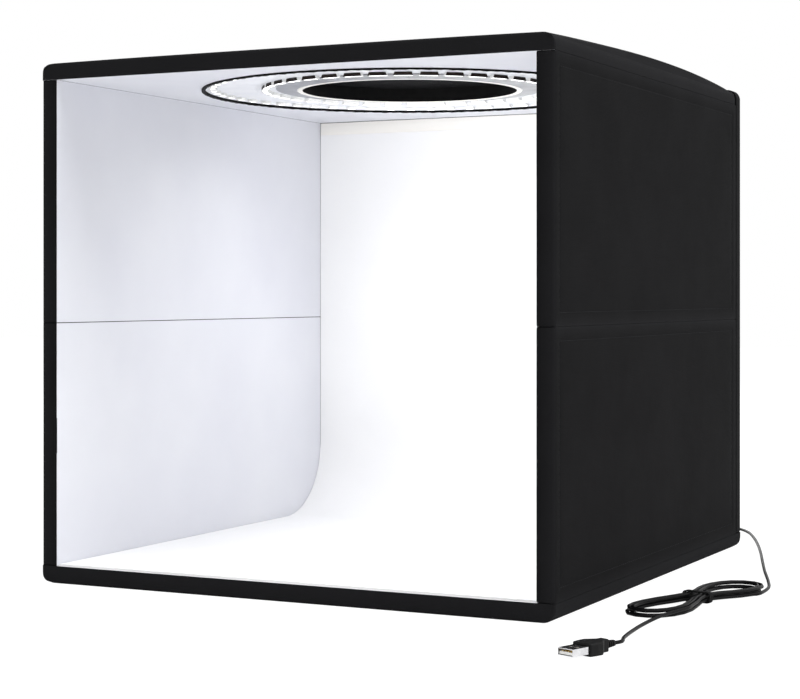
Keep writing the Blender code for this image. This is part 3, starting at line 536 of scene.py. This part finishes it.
def well_apart(distances, least=0.25 * MM):
    """The same distances in order, without those that come too close to the one before."""
    kept = []
    for distance in sorted(distances):
        if not kept or distance - kept[-1] > least:
            kept.append(distance)
    return kept


def bends(radii):
    """Distances from an edge at which its rounding is divided."""
    return [r * (1 - math.tan(math.radians(a))) for r in set(radii) for a in (45, 33, 22, 11, 0)]


def edge_lines(radius, corner):
    """Distances from an edge at which a cover is divided, for its bend, its corners and seam."""
    ditch = [SEAM_INSET + d * MM for d in (-1.6, -0.8, 0.0, 0.8, 1.6)]
    return well_apart([d for d in bends((radius, corner))
                       if d < radius + 0.01 * MM or d < SEAM_INSET - 2 * MM]
                      + [d for d in ditch if d > radius + 0.3 * MM])


def grid_lines(low, high, radius_low, radius_high, corner):
    lines = [low + d for d in edge_lines(radius_low, corner)]
    ends = [high - d for d in reversed(edge_lines(radius_high, corner))]
    count = max(1, round((ends[0] - lines[-1]) / GRID_STEP))
    between = [lines[-1] + (ends[0] - lines[-1]) * i / count for i in range(1, count)]
    return lines + between + ends


# %% The grid, extruded and sliced
def open_box(us, vs, ws, axis):
    """An open box, its outer face at the last of ws along the axis, divided at the lines given."""
    piece = flat_grid(len(us) - 1, len(vs) - 1)
    editing(piece)
    bpy.ops.mesh.extrude_region_move(TRANSFORM_OT_translate={"value": (0, 0, 1.0)})
    bpy.ops.mesh.select_all(action="DESELECT")
    mesh = bmesh.from_edit_mesh(piece.data)
    for face in mesh.faces:
        face.select = all(v.co.z < 0.001 for v in face.verts)
    bmesh.update_edit_mesh(piece.data)
    bpy.ops.mesh.delete(type="FACE")
    for i in range(1, len(ws) - 1):
        bpy.ops.mesh.select_all(action="SELECT")
        bpy.ops.mesh.bisect(plane_co=(0, 0, i / (len(ws) - 1)), plane_no=(0, 0, 1))
    object_mode()
    across = [a for a in range(3) if a != axis]

    def spread(p):
        q = Vector()
        q[across[0]] = us[round((p.x + 0.5) * (len(us) - 1))]
        q[across[1]] = vs[round((p.y + 0.5) * (len(vs) - 1))]
        q[axis] = ws[round(p.z * (len(ws) - 1))]
        return q

    reshaped(piece, spread)
    return piece


def arc(p, i, j, corner, way, radius):
    """Round one edge: points in the square at the corner move onto the arc inside it."""
    a = (p[i] - corner[0]) * way[0] + radius
    b = (p[j] - corner[1]) * way[1] + radius
    if a > 0 and b > 0:
        share = max(a, b) / math.hypot(a, b)
        p[i] = corner[0] + way[0] * (a * share - radius)
        p[j] = corner[1] + way[1] * (b * share - radius)


# %% The whole cover
def cloth_cover(name, node, body, axis, outward, radii, puff, reach=(0, 0), over=None,
                corners=(1.6 * MM, 1.6 * MM)):
    """A cover where its measured solid is, drawn over the outer face and four sides.

    The radii are those of the outer edges, low and high along the first axis across and then the
    second. The puff is how far the middle stands proud. The reach is how much further than the
    solid the cloth comes along the second axis, in mm, to close the gap to its neighbour. The
    corners are the radii of the face's corners at the low and the high end of that axis.
    """
    low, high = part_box(node)
    first, second = [a for a in range(3) if a != axis]
    low[second] -= reach[0] * MM
    high[second] += reach[1] * MM
    us = grid_lines(low[first], high[first], *radii[:2], max(corners))
    vs = grid_lines(low[second], high[second], *radii[2:], max(corners))
    outer, inner = (high[axis], low[axis]) if outward > 0 else (low[axis], high[axis])
    inner -= outward * RIM_DEPTH
    deepest = max(radii)
    depths = well_apart([d for d in bends(radii) if d < abs(outer - inner) - 1 * MM])
    ws = [outer - outward * d for d in [abs(outer - inner), *reversed(depths)]]
    piece = open_box(us, vs, ws, axis)
    edge_highlight_at = []

    def shaped(p):
        edge = min(min(p[i] - low[i], high[i] - p[i]) for i in (first, second))
        lift = edge_highlight = 0.0
        if abs(p[axis] - outer) < 0.01 * MM:
            ditch = math.exp(-(((edge - SEAM_INSET) / (1.1 * MM)) ** 2))
            swell = 1 - math.exp(-(max(0.0, edge - SEAM_INSET) / (30 * MM)) ** 2)
            pucker = 0.5 + 0.5 * math.sin((p[first] + p[second]) * 2 * math.pi / (13 * MM)
                                          + 3 * noise.noise(p * 25))
            near = math.exp(-(((edge - SEAM_INSET - 4 * MM) / (5 * MM)) ** 2))
            lift = (puff * swell - 0.3 * MM * ditch - 0.14 * MM * pucker * near
                    + 0.12 * MM * noise.noise(p * 18) * swell)
            if over:
                lift += over(p)
            # Painted highlight: the colour is made lighter on the rounded edges, and a little along
            # the seam.
            edge_highlight = 0.05 * ditch
        edge_highlight = max(edge_highlight, math.exp(-(edge / (2.2 * MM)) ** 2) * (0.4 if edge < deepest else 0.2)
                   if abs(p[axis] - outer) < 2.5 * deepest else 0.0)
        edge_highlight_at.append(edge_highlight)
        for i, ends, side_radii in ((first, (low[first], high[first]), radii[:2]),
                                    (second, (low[second], high[second]), radii[2:])):
            for end, way, radius in zip(ends, (-1, 1), side_radii):
                arc(p, i, axis, (end, outer), (way, outward), radius)
        for u_end, u_way in ((low[first], -1), (high[first], 1)):
            for v_end, v_way, radius in zip((low[second], high[second]), (-1, 1), corners):
                arc(p, first, second, (u_end, v_end), (u_way, v_way), radius)
        p[axis] += outward * lift
        return p

    reshaped(piece, shaped)
    values = piece.data.attributes.new("edge_highlight", "FLOAT", "POINT")
    for value, edge_highlight in zip(values.data, edge_highlight_at):
        value.value = edge_highlight
    closed_outwards(piece)
    facing_out(piece, axis, outer, outward)
    step_applied(piece, "SOLIDIFY", thickness=CLOTH_THICKNESS, offset=-1.0)
    return in_black_cloth(smoothed(piece, 50), name, body, node)


# %% [markdown]
# ## The seven covers
# The side edges of the floor and the ceiling are rounder, where the cloth goes round the tent's
# corners. The ceiling's cloth rises a little along its sides and drops at their ends, as in the
# photograph. The wall halves lie on each other when folded, so they are almost flat.

# %% Make the covers
ROUND_SIDE, ROUND_EDGE = 9.6 * MM, 2.8 * MM
top_low, top_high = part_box("ceiling_cover")


def ceiling_rise(p):
    """How far the ceiling's cloth stands over or under the board near its side edges."""
    side = min(1.0, abs(p.x) / top_high.x)
    share = min(1.0, max(0.0, (p.y - top_low.y) / (top_high.y - top_low.y)))
    bow = math.sin(math.pi * share ** 1.25) ** 0.9
    return side ** 3 * (6.0 * MM * bow - 0.8 * MM * (2 * share - 1) ** 8)


cloth_cover("floor_cloth", "floor_cover", "base", 2, -1,
            (ROUND_SIDE, ROUND_SIDE, ROUND_EDGE, ROUND_EDGE), 0.0)
ceiling_cloth = cloth_cover("ceiling_cloth", "ceiling_cover", "ceiling", 2, 1,
                            (ROUND_SIDE, ROUND_SIDE, ROUND_EDGE, 1.2 * MM), 0.3 * MM,
                            over=ceiling_rise)
cloth_cover("rear_cloth", "rear_cover", "rear_panel", 1, 1,
            (ROUND_EDGE, ROUND_EDGE, 0.8 * MM, ROUND_EDGE), 0.5 * MM,
            (0.56, 0), corners=(1.6 * MM, 7.8 * MM))
for half, sign in WALL_HALVES:
    reach = (0.56, 0.27) if "lower" in half else (0.27, 0.56)
    cloth_cover(f"{half}_wall_cloth", f"{half}_wall_cover", f"{half}_wall", 0, sign,
                (ROUND_EDGE, 1.2 * MM, 0.5 * MM, 0.5 * MM), 0.18 * MM, reach)

# %% [markdown]
# ## Inside the rear panel
# The rear panel's upper corners are round, and so are those of the board inside it and of the
# black cloth on its inner face. The slit over the ceiling's rear edge is hidden by a lap, a thin
# bar with its edges bevelled. It belongs to the rear panel, so that the ceiling can come down
# past it.

# %% The rear board, its facing and the top lap
def bevelled_bar(low, high, width, segments=3):
    """A bar between two corners with all its edges bevelled."""
    piece = block(low, high)
    editing(piece)
    bpy.ops.mesh.bevel(offset=width, segments=segments, affect="EDGES")
    object_mode()
    return piece


def plate_with_round_top(low, high, radius):
    """A plate that stands across the tent, with its two upper corners rounded."""
    piece = block(low, high)
    editing(piece)
    bpy.ops.mesh.select_mode(type="EDGE")
    bpy.ops.mesh.select_all(action="DESELECT")
    mesh = bmesh.from_edit_mesh(piece.data)
    for edge in mesh.edges:
        a, b = (v.co for v in edge.verts)
        edge.select = abs(a.y - b.y) > 0.1 * MM and min(a.z, b.z) > high.z - 0.1 * MM
    bmesh.update_edit_mesh(piece.data)
    bpy.ops.mesh.bevel(offset=radius, segments=6, affect="EDGES")
    bpy.ops.mesh.select_mode(type="VERT")
    object_mode()
    return smoothed(piece)


fitted(plate_with_round_top(*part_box("rear_board"), 7 * MM), "rear_stiffener", "rear_panel",
       "grey_board", [HOLLOW_BOARD], "rear_board")
cover_low, cover_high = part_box("rear_cover")
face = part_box("rear_liner")[0].y + 0.35 * MM
inset = Vector((CLOTH_THICKNESS - 0.1 * MM, 0, CLOTH_THICKNESS - 0.1 * MM))
facing = plate_with_round_top(Vector((cover_low.x, face, cover_low.z)) + inset,
                              Vector((cover_high.x, face + 0.5 * MM, cover_high.z)) - inset,
                              7.4 * MM)
in_black_cloth(facing, "rear_facing", "rear_panel")
lap = bevelled_bar((cover_low.x + 8 * MM, top_high.y + 0.15 * MM, top_high.z - 1.6 * MM),
                   (cover_high.x - 8 * MM, face + 0.2 * MM, top_high.z - 0.5 * MM), 0.3 * MM)
in_black_cloth(smoothed(lap), "rear_top_lap", "rear_panel")

# %% [markdown]
# ## Laps at the rear
# The rear panel is held to the walls by hook and loop strips, which keep it 3 mm off them. On
# the outside a narrow lap of cloth hides that slit. Each wall half has its own.

# %% The laps
for half, sign in WALL_HALVES:
    low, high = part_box(f"{half}_wall_cover")
    outer = high.x if sign > 0 else low.x
    ends = sorted((outer - sign * 0.1 * MM, outer - sign * 1.3 * MM))
    lap = bevelled_bar((ends[0], high.y - 2 * MM, low.z - 0.3 * MM),
                       (ends[1], high.y + 2.85 * MM, high.z + 0.3 * MM), 0.5 * MM)
    in_black_cloth(smoothed(lap), f"{half}_rear_lap", f"{half}_wall")

# %% [markdown]
# ## The rear hinge
# The rear panel's hinge is a strip of cloth sewn to the floor panel and to the rear panel, which
# hides the slit between them. Here it is one flat strip, fixed to neither panel, with its rows of
# points crowded at the slit.

# %% The hinge strip
HINGE_LEVEL = (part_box("floor_cover")[1].z + cover_low.z) / 2
rows = [HINGE_LEVEL + d * MM for d in (-3.2, -2.4, -1.4, -0.8, -0.4, 0, 0.4, 0.8, 1.4, 3, 5, 7)]
rear_face, rear_side = cover_high.y, cover_high.x - 4 * MM
hinge_strip = flat_grid(28, len(rows) - 1)
reshaped(hinge_strip, lambda p: Vector((2 * p.x * rear_side, rear_face + 0.35 * MM,
                                        rows[round((p.y + 0.5) * (len(rows) - 1))])))
facing_out(hinge_strip, 1, rear_face, 1)
step_applied(hinge_strip, "SOLIDIFY", thickness=0.5 * MM, offset=-1.0)
in_black_cloth(smoothed(hinge_strip), "rear_hinge_strip", None)
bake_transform(hinge_strip)

# %% [markdown]
# ## Stitching
# Each cover is topstitched 9 mm inside its edges with a thread about 0.5 mm thick, four
# millimetres to a stitch. One stitch is a small ball drawn out long, and the rest are its copies,
# laid in the ditch that the seam makes.

# %% Stitches round each cover
STITCH_PITCH, STITCH_LENGTH, THREAD_RADIUS = 4 * MM, 3.1 * MM, 0.24 * MM


def repeated(template, spots):
    """Make one mesh of copies of a small piece, each at its own place."""
    mesh = bmesh.new()
    for spot in spots:
        start = len(mesh.verts)
        mesh.from_mesh(template.data)
        mesh.verts.ensure_lookup_table()
        bmesh.ops.transform(mesh, matrix=spot, verts=mesh.verts[start:])
    mesh.to_mesh(template.data)
    mesh.free()


def stitched(spots):
    """Stitches at all the places given, each a small ball drawn out along X."""
    nothing_selected()
    bpy.ops.mesh.primitive_uv_sphere_add(segments=6, ring_count=4, radius=1.0)
    piece = bpy.context.object
    reshaped(piece, lambda p: Vector((p.z * STITCH_LENGTH / 2, p.x * THREAD_RADIUS,
                                      p.y * THREAD_RADIUS)))
    repeated(piece, spots)
    return smoothed(piece, 80)


def stitched_round(name, node, body, axis, outward, sunk=0.22 * MM, over=None):
    low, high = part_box(node)
    first, second = [a for a in range(3) if a != axis]
    outer = (high[axis] if outward > 0 else low[axis]) - outward * sunk
    spots = []
    for along, across in ((first, second), (second, first)):
        start, end = low[along] + SEAM_INSET, high[along] - SEAM_INSET
        count = round((end - start) / STITCH_PITCH)
        way = Vector()
        way[along] = 1.0
        turn = way.to_track_quat("X", "Z").to_matrix().to_4x4()
        for level in (low[across] + SEAM_INSET, high[across] - SEAM_INSET):
            for i in range(count):
                spot = Vector()
                spot[along] = start + (end - start) * (i + 0.5) / count
                spot[across], spot[axis] = level, outer
                if over:
                    spot[axis] += outward * over(spot)
                spots.append(Matrix.Translation(spot) @ turn)
    fitted(stitched(spots), name, body, "black_cloth", [THREAD])


stitched_round("floor_stitching", "floor_cover", "base", 2, -1, -0.02 * MM)
stitched_round("ceiling_stitching", "ceiling_cover", "ceiling", 2, 1, over=ceiling_rise)
stitched_round("rear_stitching", "rear_cover", "rear_panel", 1, 1)
for half, sign in WALL_HALVES:
    stitched_round(f"{half}_wall_stitching", f"{half}_wall_cover", f"{half}_wall", 0, sign)

# %% [markdown]
# # The cover of the camera hole
# The camera looks down through a round hole in the ceiling, and a stiffened cloth flap closes it
# when it isn't in use. The flap lies in a hollow of its own shape, hinged by the straight ear at
# its front and lifted by the tab at its rear. Its outline is a circle whose points are moved out
# to the ear and the tab. The same outline, grown by the gap round it, cuts the ceiling's cloth.

# %% The flap's outline
flap_low, flap_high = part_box("camera_hole_flap")
FLAP_RADIUS, EAR_HALF, TAB_HALF = 89.5 * MM, 25 * MM, 11 * MM
HOLE_RADIUS = 83.8


def round_the_hole(count, radius, height):
    """Places spaced evenly on a circle about the hole's axis, each turned to face outwards."""
    return [Matrix.Translation((HOLE_X, HOLE_Y, height))
            @ Matrix.Rotation(2 * math.pi * i / count, 4, "Z")
            @ Matrix.Translation((radius, 0, 0)) for i in range(count)]


def flap_prism(grow, bottom, top):
    """A closed prism with the flap's outline, grown sideways, between two heights."""
    ear, tab = HOLE_Y - flap_low.y + grow, flap_high.y - HOLE_Y + grow
    radius, boxes = FLAP_RADIUS + grow, ((EAR_HALF + grow, ear, -1), (TAB_HALF + grow, tab, 1))
    angles = [2 * math.pi * i / 120 for i in range(120)]
    for half, reach, way in boxes:
        foot = math.sqrt(radius * radius - half * half)
        angles += [math.atan2(way * y, x) % (2 * math.pi)
                   for x in (-half, half) for y in (reach, foot)]
    angles = well_apart(angles, 0.004)
    edge = []
    for angle in angles:
        x, y = math.cos(angle), math.sin(angle)
        out = radius
        for half, reach, way in boxes:
            if y * way > 0.01:
                out = max(out, min(half / max(abs(x), 1e-9), reach / abs(y)))
        edge.append((HOLE_X + x * out, HOLE_Y + y * out, bottom))
    piece = outlined(edge, "NGON")
    editing(piece)
    bpy.ops.mesh.extrude_region_move(TRANSFORM_OT_translate={"value": (0, 0, top - bottom)})
    return closed_outwards(piece)


# %% Cut the ceiling's cloth, and make the flap and its stitches
cutter = flap_prism(0.6 * MM, flap_low.z - 4 * MM, flap_high.z + 12 * MM)
step_applied(ceiling_cloth, "BOOLEAN", operation="DIFFERENCE", solver="EXACT", object=cutter)
bpy.data.objects.remove(cutter)
smoothed(ceiling_cloth, 50)
seat = flap_prism(1.0 * MM, flap_low.z - 0.25 * MM, flap_low.z - 0.05 * MM)
nothing_selected()
bpy.ops.mesh.primitive_cylinder_add(vertices=144, radius=HOLE_RADIUS * MM, depth=10 * MM,
                                    location=(HOLE_X, HOLE_Y, flap_low.z))
cutter = bpy.context.object
step_applied(seat, "BOOLEAN", operation="DIFFERENCE", solver="EXACT", object=cutter)
bpy.data.objects.remove(cutter)
in_black_cloth(seat, "hole_flap_seat", "ceiling")
flap = flap_prism(0.0, flap_low.z, flap_high.z)
step_applied(flap, "BEVEL", width=0.45 * MM, segments=3, limit_method="ANGLE")
in_black_cloth(smoothed(flap), "hole_flap_cloth", "hole_flap", "camera_hole_flap")
spots = [place @ Matrix.Rotation(math.pi / 2, 4, "Z")
         for place in round_the_hole(132, FLAP_RADIUS - 5 * MM, flap_high.z)]
fitted(stitched(spots), "hole_flap_stitching", "hole_flap", "black_cloth", [THREAD])

# %% [markdown]
# # The white lining
# A liner is a flat sheet on the panel's inner face. On the walls each half has its own, and the
# two meet at the crease, where the photograph shows one thin grey line. The sheets are grids with
# a thickness. Over a wide span the cloth lies a few hundredths of a millimetre uneven.

# %% The linings
LINER_STEP = 12 * MM


def flat_sheet(low, high, axis, facing, thickness):
    """A smooth sheet over the face of a box that looks along the axis, thickened behind it."""
    first, second = [a for a in range(3) if a != axis]
    piece = flat_grid(*(round((high[i] - low[i]) / LINER_STEP) for i in (first, second)))
    level = high[axis] if facing > 0 else low[axis]

    def laid(p):
        q = Vector()
        q[first] = low[first] + (p.x + 0.5) * (high[first] - low[first])
        q[second] = low[second] + (p.y + 0.5) * (high[second] - low[second])
        q[axis] = level
        q[axis] += facing * 0.08 * MM * noise.noise(q * 14)
        return q

    reshaped(piece, laid)
    facing_out(piece, axis, level, facing)
    step_applied(piece, "SOLIDIFY", thickness=thickness, offset=-1.0)
    return smoothed(piece)


crease = (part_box("right_lower_wall_cover")[1].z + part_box("right_upper_wall_cover")[0].z) / 2
for half, sign in WALL_HALVES:
    low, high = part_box(f"{half}_wall_liner")
    if "lower" in half:
        low.z, high.z = low.z - 1.2 * MM, crease - 0.3 * MM
    else:
        low.z, high.z = crease + 0.3 * MM, high.z + 1.2 * MM
    fitted(flat_sheet(low, high, 0, -sign, 1.0 * MM), f"{half}_wall_lining",
           f"{half}_wall", "white_liner", [WHITE_LINER], f"{half}_wall_liner")

# The rear panel and the floor have black cloth round their edges, where the walls meet them, and
# are white only over the opening. The floor's lining has the white of the backdrop that lies on it.
rear_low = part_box("rear_liner")[0]
inner_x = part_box("right_lower_wall_liner")[0].x
rear_lining = flat_sheet(Vector((-inner_x, rear_low.y, rear_low.z)),
                         Vector((inner_x, rear_low.y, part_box("ceiling_liner")[0].z)),
                         1, -1, 0.3 * MM)
fitted(rear_lining, "rear_lining", "rear_panel", "white_liner", [WHITE_LINER], "rear_liner")
floor_low, floor_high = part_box("floor_liner")
facing = flat_sheet(floor_low, floor_high - Vector((0, 0, 0.3 * MM)), 2, 1, 0.5 * MM)
in_black_cloth(facing, "floor_facing", "base")
floor_lining = flat_sheet(Vector((-inner_x - 0.2 * MM, floor_low.y, floor_low.z)),
                          Vector((inner_x + 0.2 * MM, floor_high.y, floor_high.z)),
                          2, 1, 0.15 * MM)
fitted(floor_lining, "floor_lining", "base", "white_liner", [WHITE_SHEET], "floor_liner")

# %% [markdown]
# ## The cloth in the folds
# In each of the six folds a thin black strip stands in the gap beside the pivot, out of the way
# when the panels turn. The pivots are those of the part's joints: at the inner face above and
# below, and at the outer face in the middle.

# %% Strips in the folds
for side, way in (("right", 1), ("left", -1)):
    low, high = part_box(f"{side}_lower_wall_cover")
    for place, body, pivot_x, pivot_z, reach in (
            ("bottom", "base", 191.0, 13.3, 1),
            ("middle", f"{side}_lower_wall", 204.3, 192.5, -1),
            ("top", "ceiling", 191.0, 371.7, 1)):
        inner, outer = sorted(way * (pivot_x + reach * x) * MM for x in (0.6, 2.8))
        strip = bevelled_bar((inner, low.y + 2.2 * MM, (pivot_z - 0.25) * MM),
                             (outer, high.y - 2.2 * MM, (pivot_z + 0.25) * MM), 0.08 * MM, 1)
        in_black_cloth(strip, f"{side}_{place}_fold_cloth", body)

# %% [markdown]
# # The ring light
# The light is a white circuit board, 322 mm across, let into the ceiling round the camera hole.
# It carries two rows of LEDs: thirty-eight long ones with dark backs near the hole and fifty-six
# short ones in white housings at the rim. The round pieces are outlines spun about the ring's axis,
# as on a lathe. The rim hangs 1.5 mm down.

# %% Spin an outline
board_low, board_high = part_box("ring_led_board")
LED_FACE = board_low.z
BOARD_FACE = LED_FACE + 2.4 * MM


def turned(level, outline, steps=144):
    """Spin a closed outline of (radius, height above the level), in mm, about the ring's axis."""
    piece = outlined([(HOLE_X + radius * MM, HOLE_Y, level + height * MM)
                      for radius, height in outline])
    editing(piece)
    bpy.ops.mesh.spin(steps=steps, angle=2 * math.pi, center=(HOLE_X, HOLE_Y, 0), axis=(0, 0, 1))
    return smoothed(closed_outwards(piece), 30)


# %% The board, the rim, the reflector and the hole's trim
top = (board_high.z - LED_FACE) / MM
board = turned(LED_FACE, [(85.4, top), (85.4, 2.4), (158.2, 2.4), (158.9, 0.4), (160.9, 0.4),
                          (160.9, top)])
fitted(board, "ring_board", "ceiling", "led_board", [WHITE_BOARD], "ring_led_board")
rim = turned(LED_FACE, [(159.3, 0.35), (159.3, -1.4), (159.5, -1.5), (161.9, -1.5),
                        (162.1, -1.4), (162.1, -0.25), (161.1, -0.25), (161.1, 0.35)], 360)


def crimped(p):
    """The rim's lower edge goes up and down a little, as it was crimped over the board."""
    if p.z < LED_FACE - 1 * MM:
        angle = math.atan2(p.y - HOLE_Y, p.x - HOLE_X)
        p.z -= 0.16 * MM * math.sin(angle * 120) + 0.1 * MM * math.sin(angle * 47)
    return p


reshaped(rim, crimped)
fitted(rim, "ring_rim", "ceiling", "led_board", [RIM_BLACK])
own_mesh(rim)
foil_low, foil_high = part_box("reflector_ring")
top = (foil_high.z - foil_low.z) / MM
foil = turned(foil_low.z, [(104.5, top), (104.5, top - 0.6), (96, 0.7), (88.6, 0), (88.3, 0.3),
                           (88.5, 0.6), (96, 1.3)])
fitted(foil, "ring_reflector", "ceiling", "silver_reflector", [FOIL], "reflector_ring")
trim_low, trim_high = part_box("hole_trim")
top, lip = (trim_high.z - trim_low.z) / MM, 0.8
trim = turned(trim_low.z, [(85, top), (85, lip), (87.6, lip), (88, lip / 2), (87.6, 0), (84.2, 0),
                           (HOLE_RADIUS, lip / 2), (HOLE_RADIUS, top)])
fitted(trim, "hole_binding", "ceiling", "black_cloth", [RIM_BLACK, CREAM_TAPE], "hole_trim")
for face in trim.data.polygons:
    face.material_index = int(face.center.z < trim_low.z + (lip + 0.01) * MM)

# %% [markdown]
# ## The LEDs
# One LED of each size is modelled: a block whose lower face is inset and sunk a little, to be the
# lens. Its copies stand round the ring.

# %% Two rows of LEDs
def led_row(name, size, radius, count, dark_back):
    size = Vector(size) * MM
    piece = block(-size / 2, size / 2)
    reshaped(piece, lambda p: Vector((p.x, p.y * (0.86 if p.z > 0 else 1.0), p.z)))
    editing(piece)
    bpy.ops.mesh.bevel(offset=0.25 * MM, segments=1, affect="EDGES")
    mesh = bmesh.from_edit_mesh(piece.data)
    for face in mesh.faces:
        face.select = face.normal.z < -0.9
    bmesh.update_edit_mesh(piece.data)
    bpy.ops.mesh.inset(thickness=0.5 * MM, depth=-0.2 * MM)
    mesh = bmesh.from_edit_mesh(piece.data)
    for face in mesh.faces:
        back = dark_back and face.normal.x > 0.5
        face.material_index = 1 if face.select else 2 if back else 0
    bmesh.update_edit_mesh(piece.data)
    object_mode()
    repeated(piece, round_the_hole(count, radius * MM, BOARD_FACE - size.z / 2))
    kept = [face.material_index for face in piece.data.polygons]
    fitted(piece, name, "ceiling", "led_board", [LED_WHITE, LED_LENS, LED_DARK])
    for face, index in zip(piece.data.polygons, kept):
        face.material_index = index


led_row("inner_leds", (5, 14.6, 2.7), 113, 38, True)
led_row("outer_leds", (5, 8, 2.4), 153.5, 56, False)

# %% [markdown]
# # The backdrop
# The backdrop is one sheet 379 mm wide and 745 mm long. It hangs from a hem at the ceiling, turns
# forward in one even sweep and lies over the floor to just behind the front edge. It is a grid
# whose rows are laid along that line, thickened by Solidify.

# %% The sheet and its hem
sheet_low, sheet_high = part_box("backdrop_sheet")
SWEEP = 64 * MM
bend_y, bend_z = sheet_high.y - SWEEP, sheet_low.z + SWEEP
line = [(sheet_high.y, sheet_high.z + (bend_z - sheet_high.z) * i / 16) for i in range(16)]
for i in range(25):
    angle = math.pi / 2 * i / 24
    line.append((bend_y + SWEEP * math.cos(angle), bend_z - SWEEP * math.sin(angle)))
line += [(bend_y + (sheet_low.y - bend_y) * i / 16, sheet_low.z) for i in range(1, 17)]
backdrop = flat_grid(12, len(line) - 1)


def hung(p):
    y, z = line[round((p.y + 0.5) * (len(line) - 1))]
    return Vector((2 * p.x * (sheet_high.x + 1.1 * MM), y, z))


reshaped(backdrop, hung)
step_applied(backdrop, "SOLIDIFY", thickness=0.8 * MM, offset=-1.0, use_even_offset=True)
fitted(smoothed(backdrop, 60), "backdrop", "base", "white_sheet", [WHITE_SHEET], "backdrop_sheet")
hem = smoothed(bevelled_bar(*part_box("backdrop_hem"), 0.35 * MM, 2))
fitted(hem, "backdrop_top_hem", "base", "white_sheet", [CREAM_TAPE], "backdrop_hem")
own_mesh(hem)

# %% [markdown]
# # The stage
# A plain pale floor and a white surround, with soft light from the world. Four large lamps stand
# round the tent, and the weakest is the one that shines into its open front. Two round lamps hang
# inside: the first under the ring light, and the second aims that light at the sweep. The world
# has its full brightness only for rays that the camera, a mirror or a window sends, and half of
# it for the rest. The floor's added white is for the camera alone.

# %% Floor, world and lamps
nothing_selected()
bpy.ops.mesh.primitive_plane_add(size=12.0, location=(0, 0, -0.1 * MM))
floor = bpy.context.object
floor.name = "studio_floor"
FLOOR_FINISH, floor_shader = new_finish("pale floor", Base_Color=linear("#f4f4f4"), Roughness=0.9,
                                        Specular_IOR_Level=0.1)
path = add_node(FLOOR_FINISH, "LightPath")
white = add_node(FLOOR_FINISH, "Emission", None, {"Color": (1, 1, 1, 1), "Strength": 1.2})
seen = add_node(FLOOR_FINISH, "Math", {"operation": "MULTIPLY"},
                {0: path.outputs["Is Camera Ray"], 1: 0.8})
mixed = add_node(FLOOR_FINISH, "MixShader", None,
                 {0: seen.outputs[0], 1: floor_shader.outputs[0], 2: white.outputs[0]})
joined(FLOOR_FINISH, mixed.outputs[0],
       FLOOR_FINISH.node_tree.nodes["Material Output"].inputs["Surface"])
floor.data.materials.append(FLOOR_FINISH)

world = bpy.context.scene.world or bpy.data.worlds.new("studio")
bpy.context.scene.world = world
world.use_nodes = True
background = world.node_tree.nodes["Background"]
rays = add_node(world, "LightPath")
seen = rays.outputs["Is Camera Ray"]
for kind in ("Is Glossy Ray", "Is Transmission Ray"):
    seen = add_node(world, "Math", {"operation": "MAXIMUM"},
                    {0: seen, 1: rays.outputs[kind]}).outputs[0]
strength = add_node(world, "MapRange", None, {"Value": seen, "To Min": 0.5, "To Max": 1.0})
background.inputs["Color"].default_value = (1, 1, 1, 1)
joined(world, strength.outputs[0], background.inputs["Strength"])


def soft_lamp(name, size, power, place, aim=(0, 0, 0.2)):
    way = Vector(aim) - Vector(place)
    bpy.ops.object.light_add(type="AREA", location=place,
                             rotation=way.to_track_quat("-Z", "Y").to_euler())
    lamp = bpy.context.object
    lamp.name = name
    lamp.data.size = size
    lamp.data.energy = power
    return lamp


soft_lamp("front_lamp", 1.4, 5, (-0.8, -2.2, 1.0))
soft_lamp("rear_lamp", 1.6, 30, (-1.4, 2.2, 1.4))
soft_lamp("side_lamp", 1.4, 26, (2.2, 0.1, 1.2))
soft_lamp("top_lamp", 1.6, 34, (0.3, -0.3, 2.2))
for lamp in (soft_lamp("ring_lamp", 0.3, 0.4, (HOLE_X, HOLE_Y, 0.3715), (HOLE_X, HOLE_Y, 0)),
             soft_lamp("sweep_lamp", 0.16, 0.2, (0.03, -0.10, 0.26), (0.01, 0.20, 0.29))):
    lamp.data.shape = "DISK"
    lamp.data.spread = math.radians(125)
    lamp.visible_camera = lamp.visible_glossy = False

bpy.context.scene.view_settings.view_transform = "Standard"

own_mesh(backdrop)
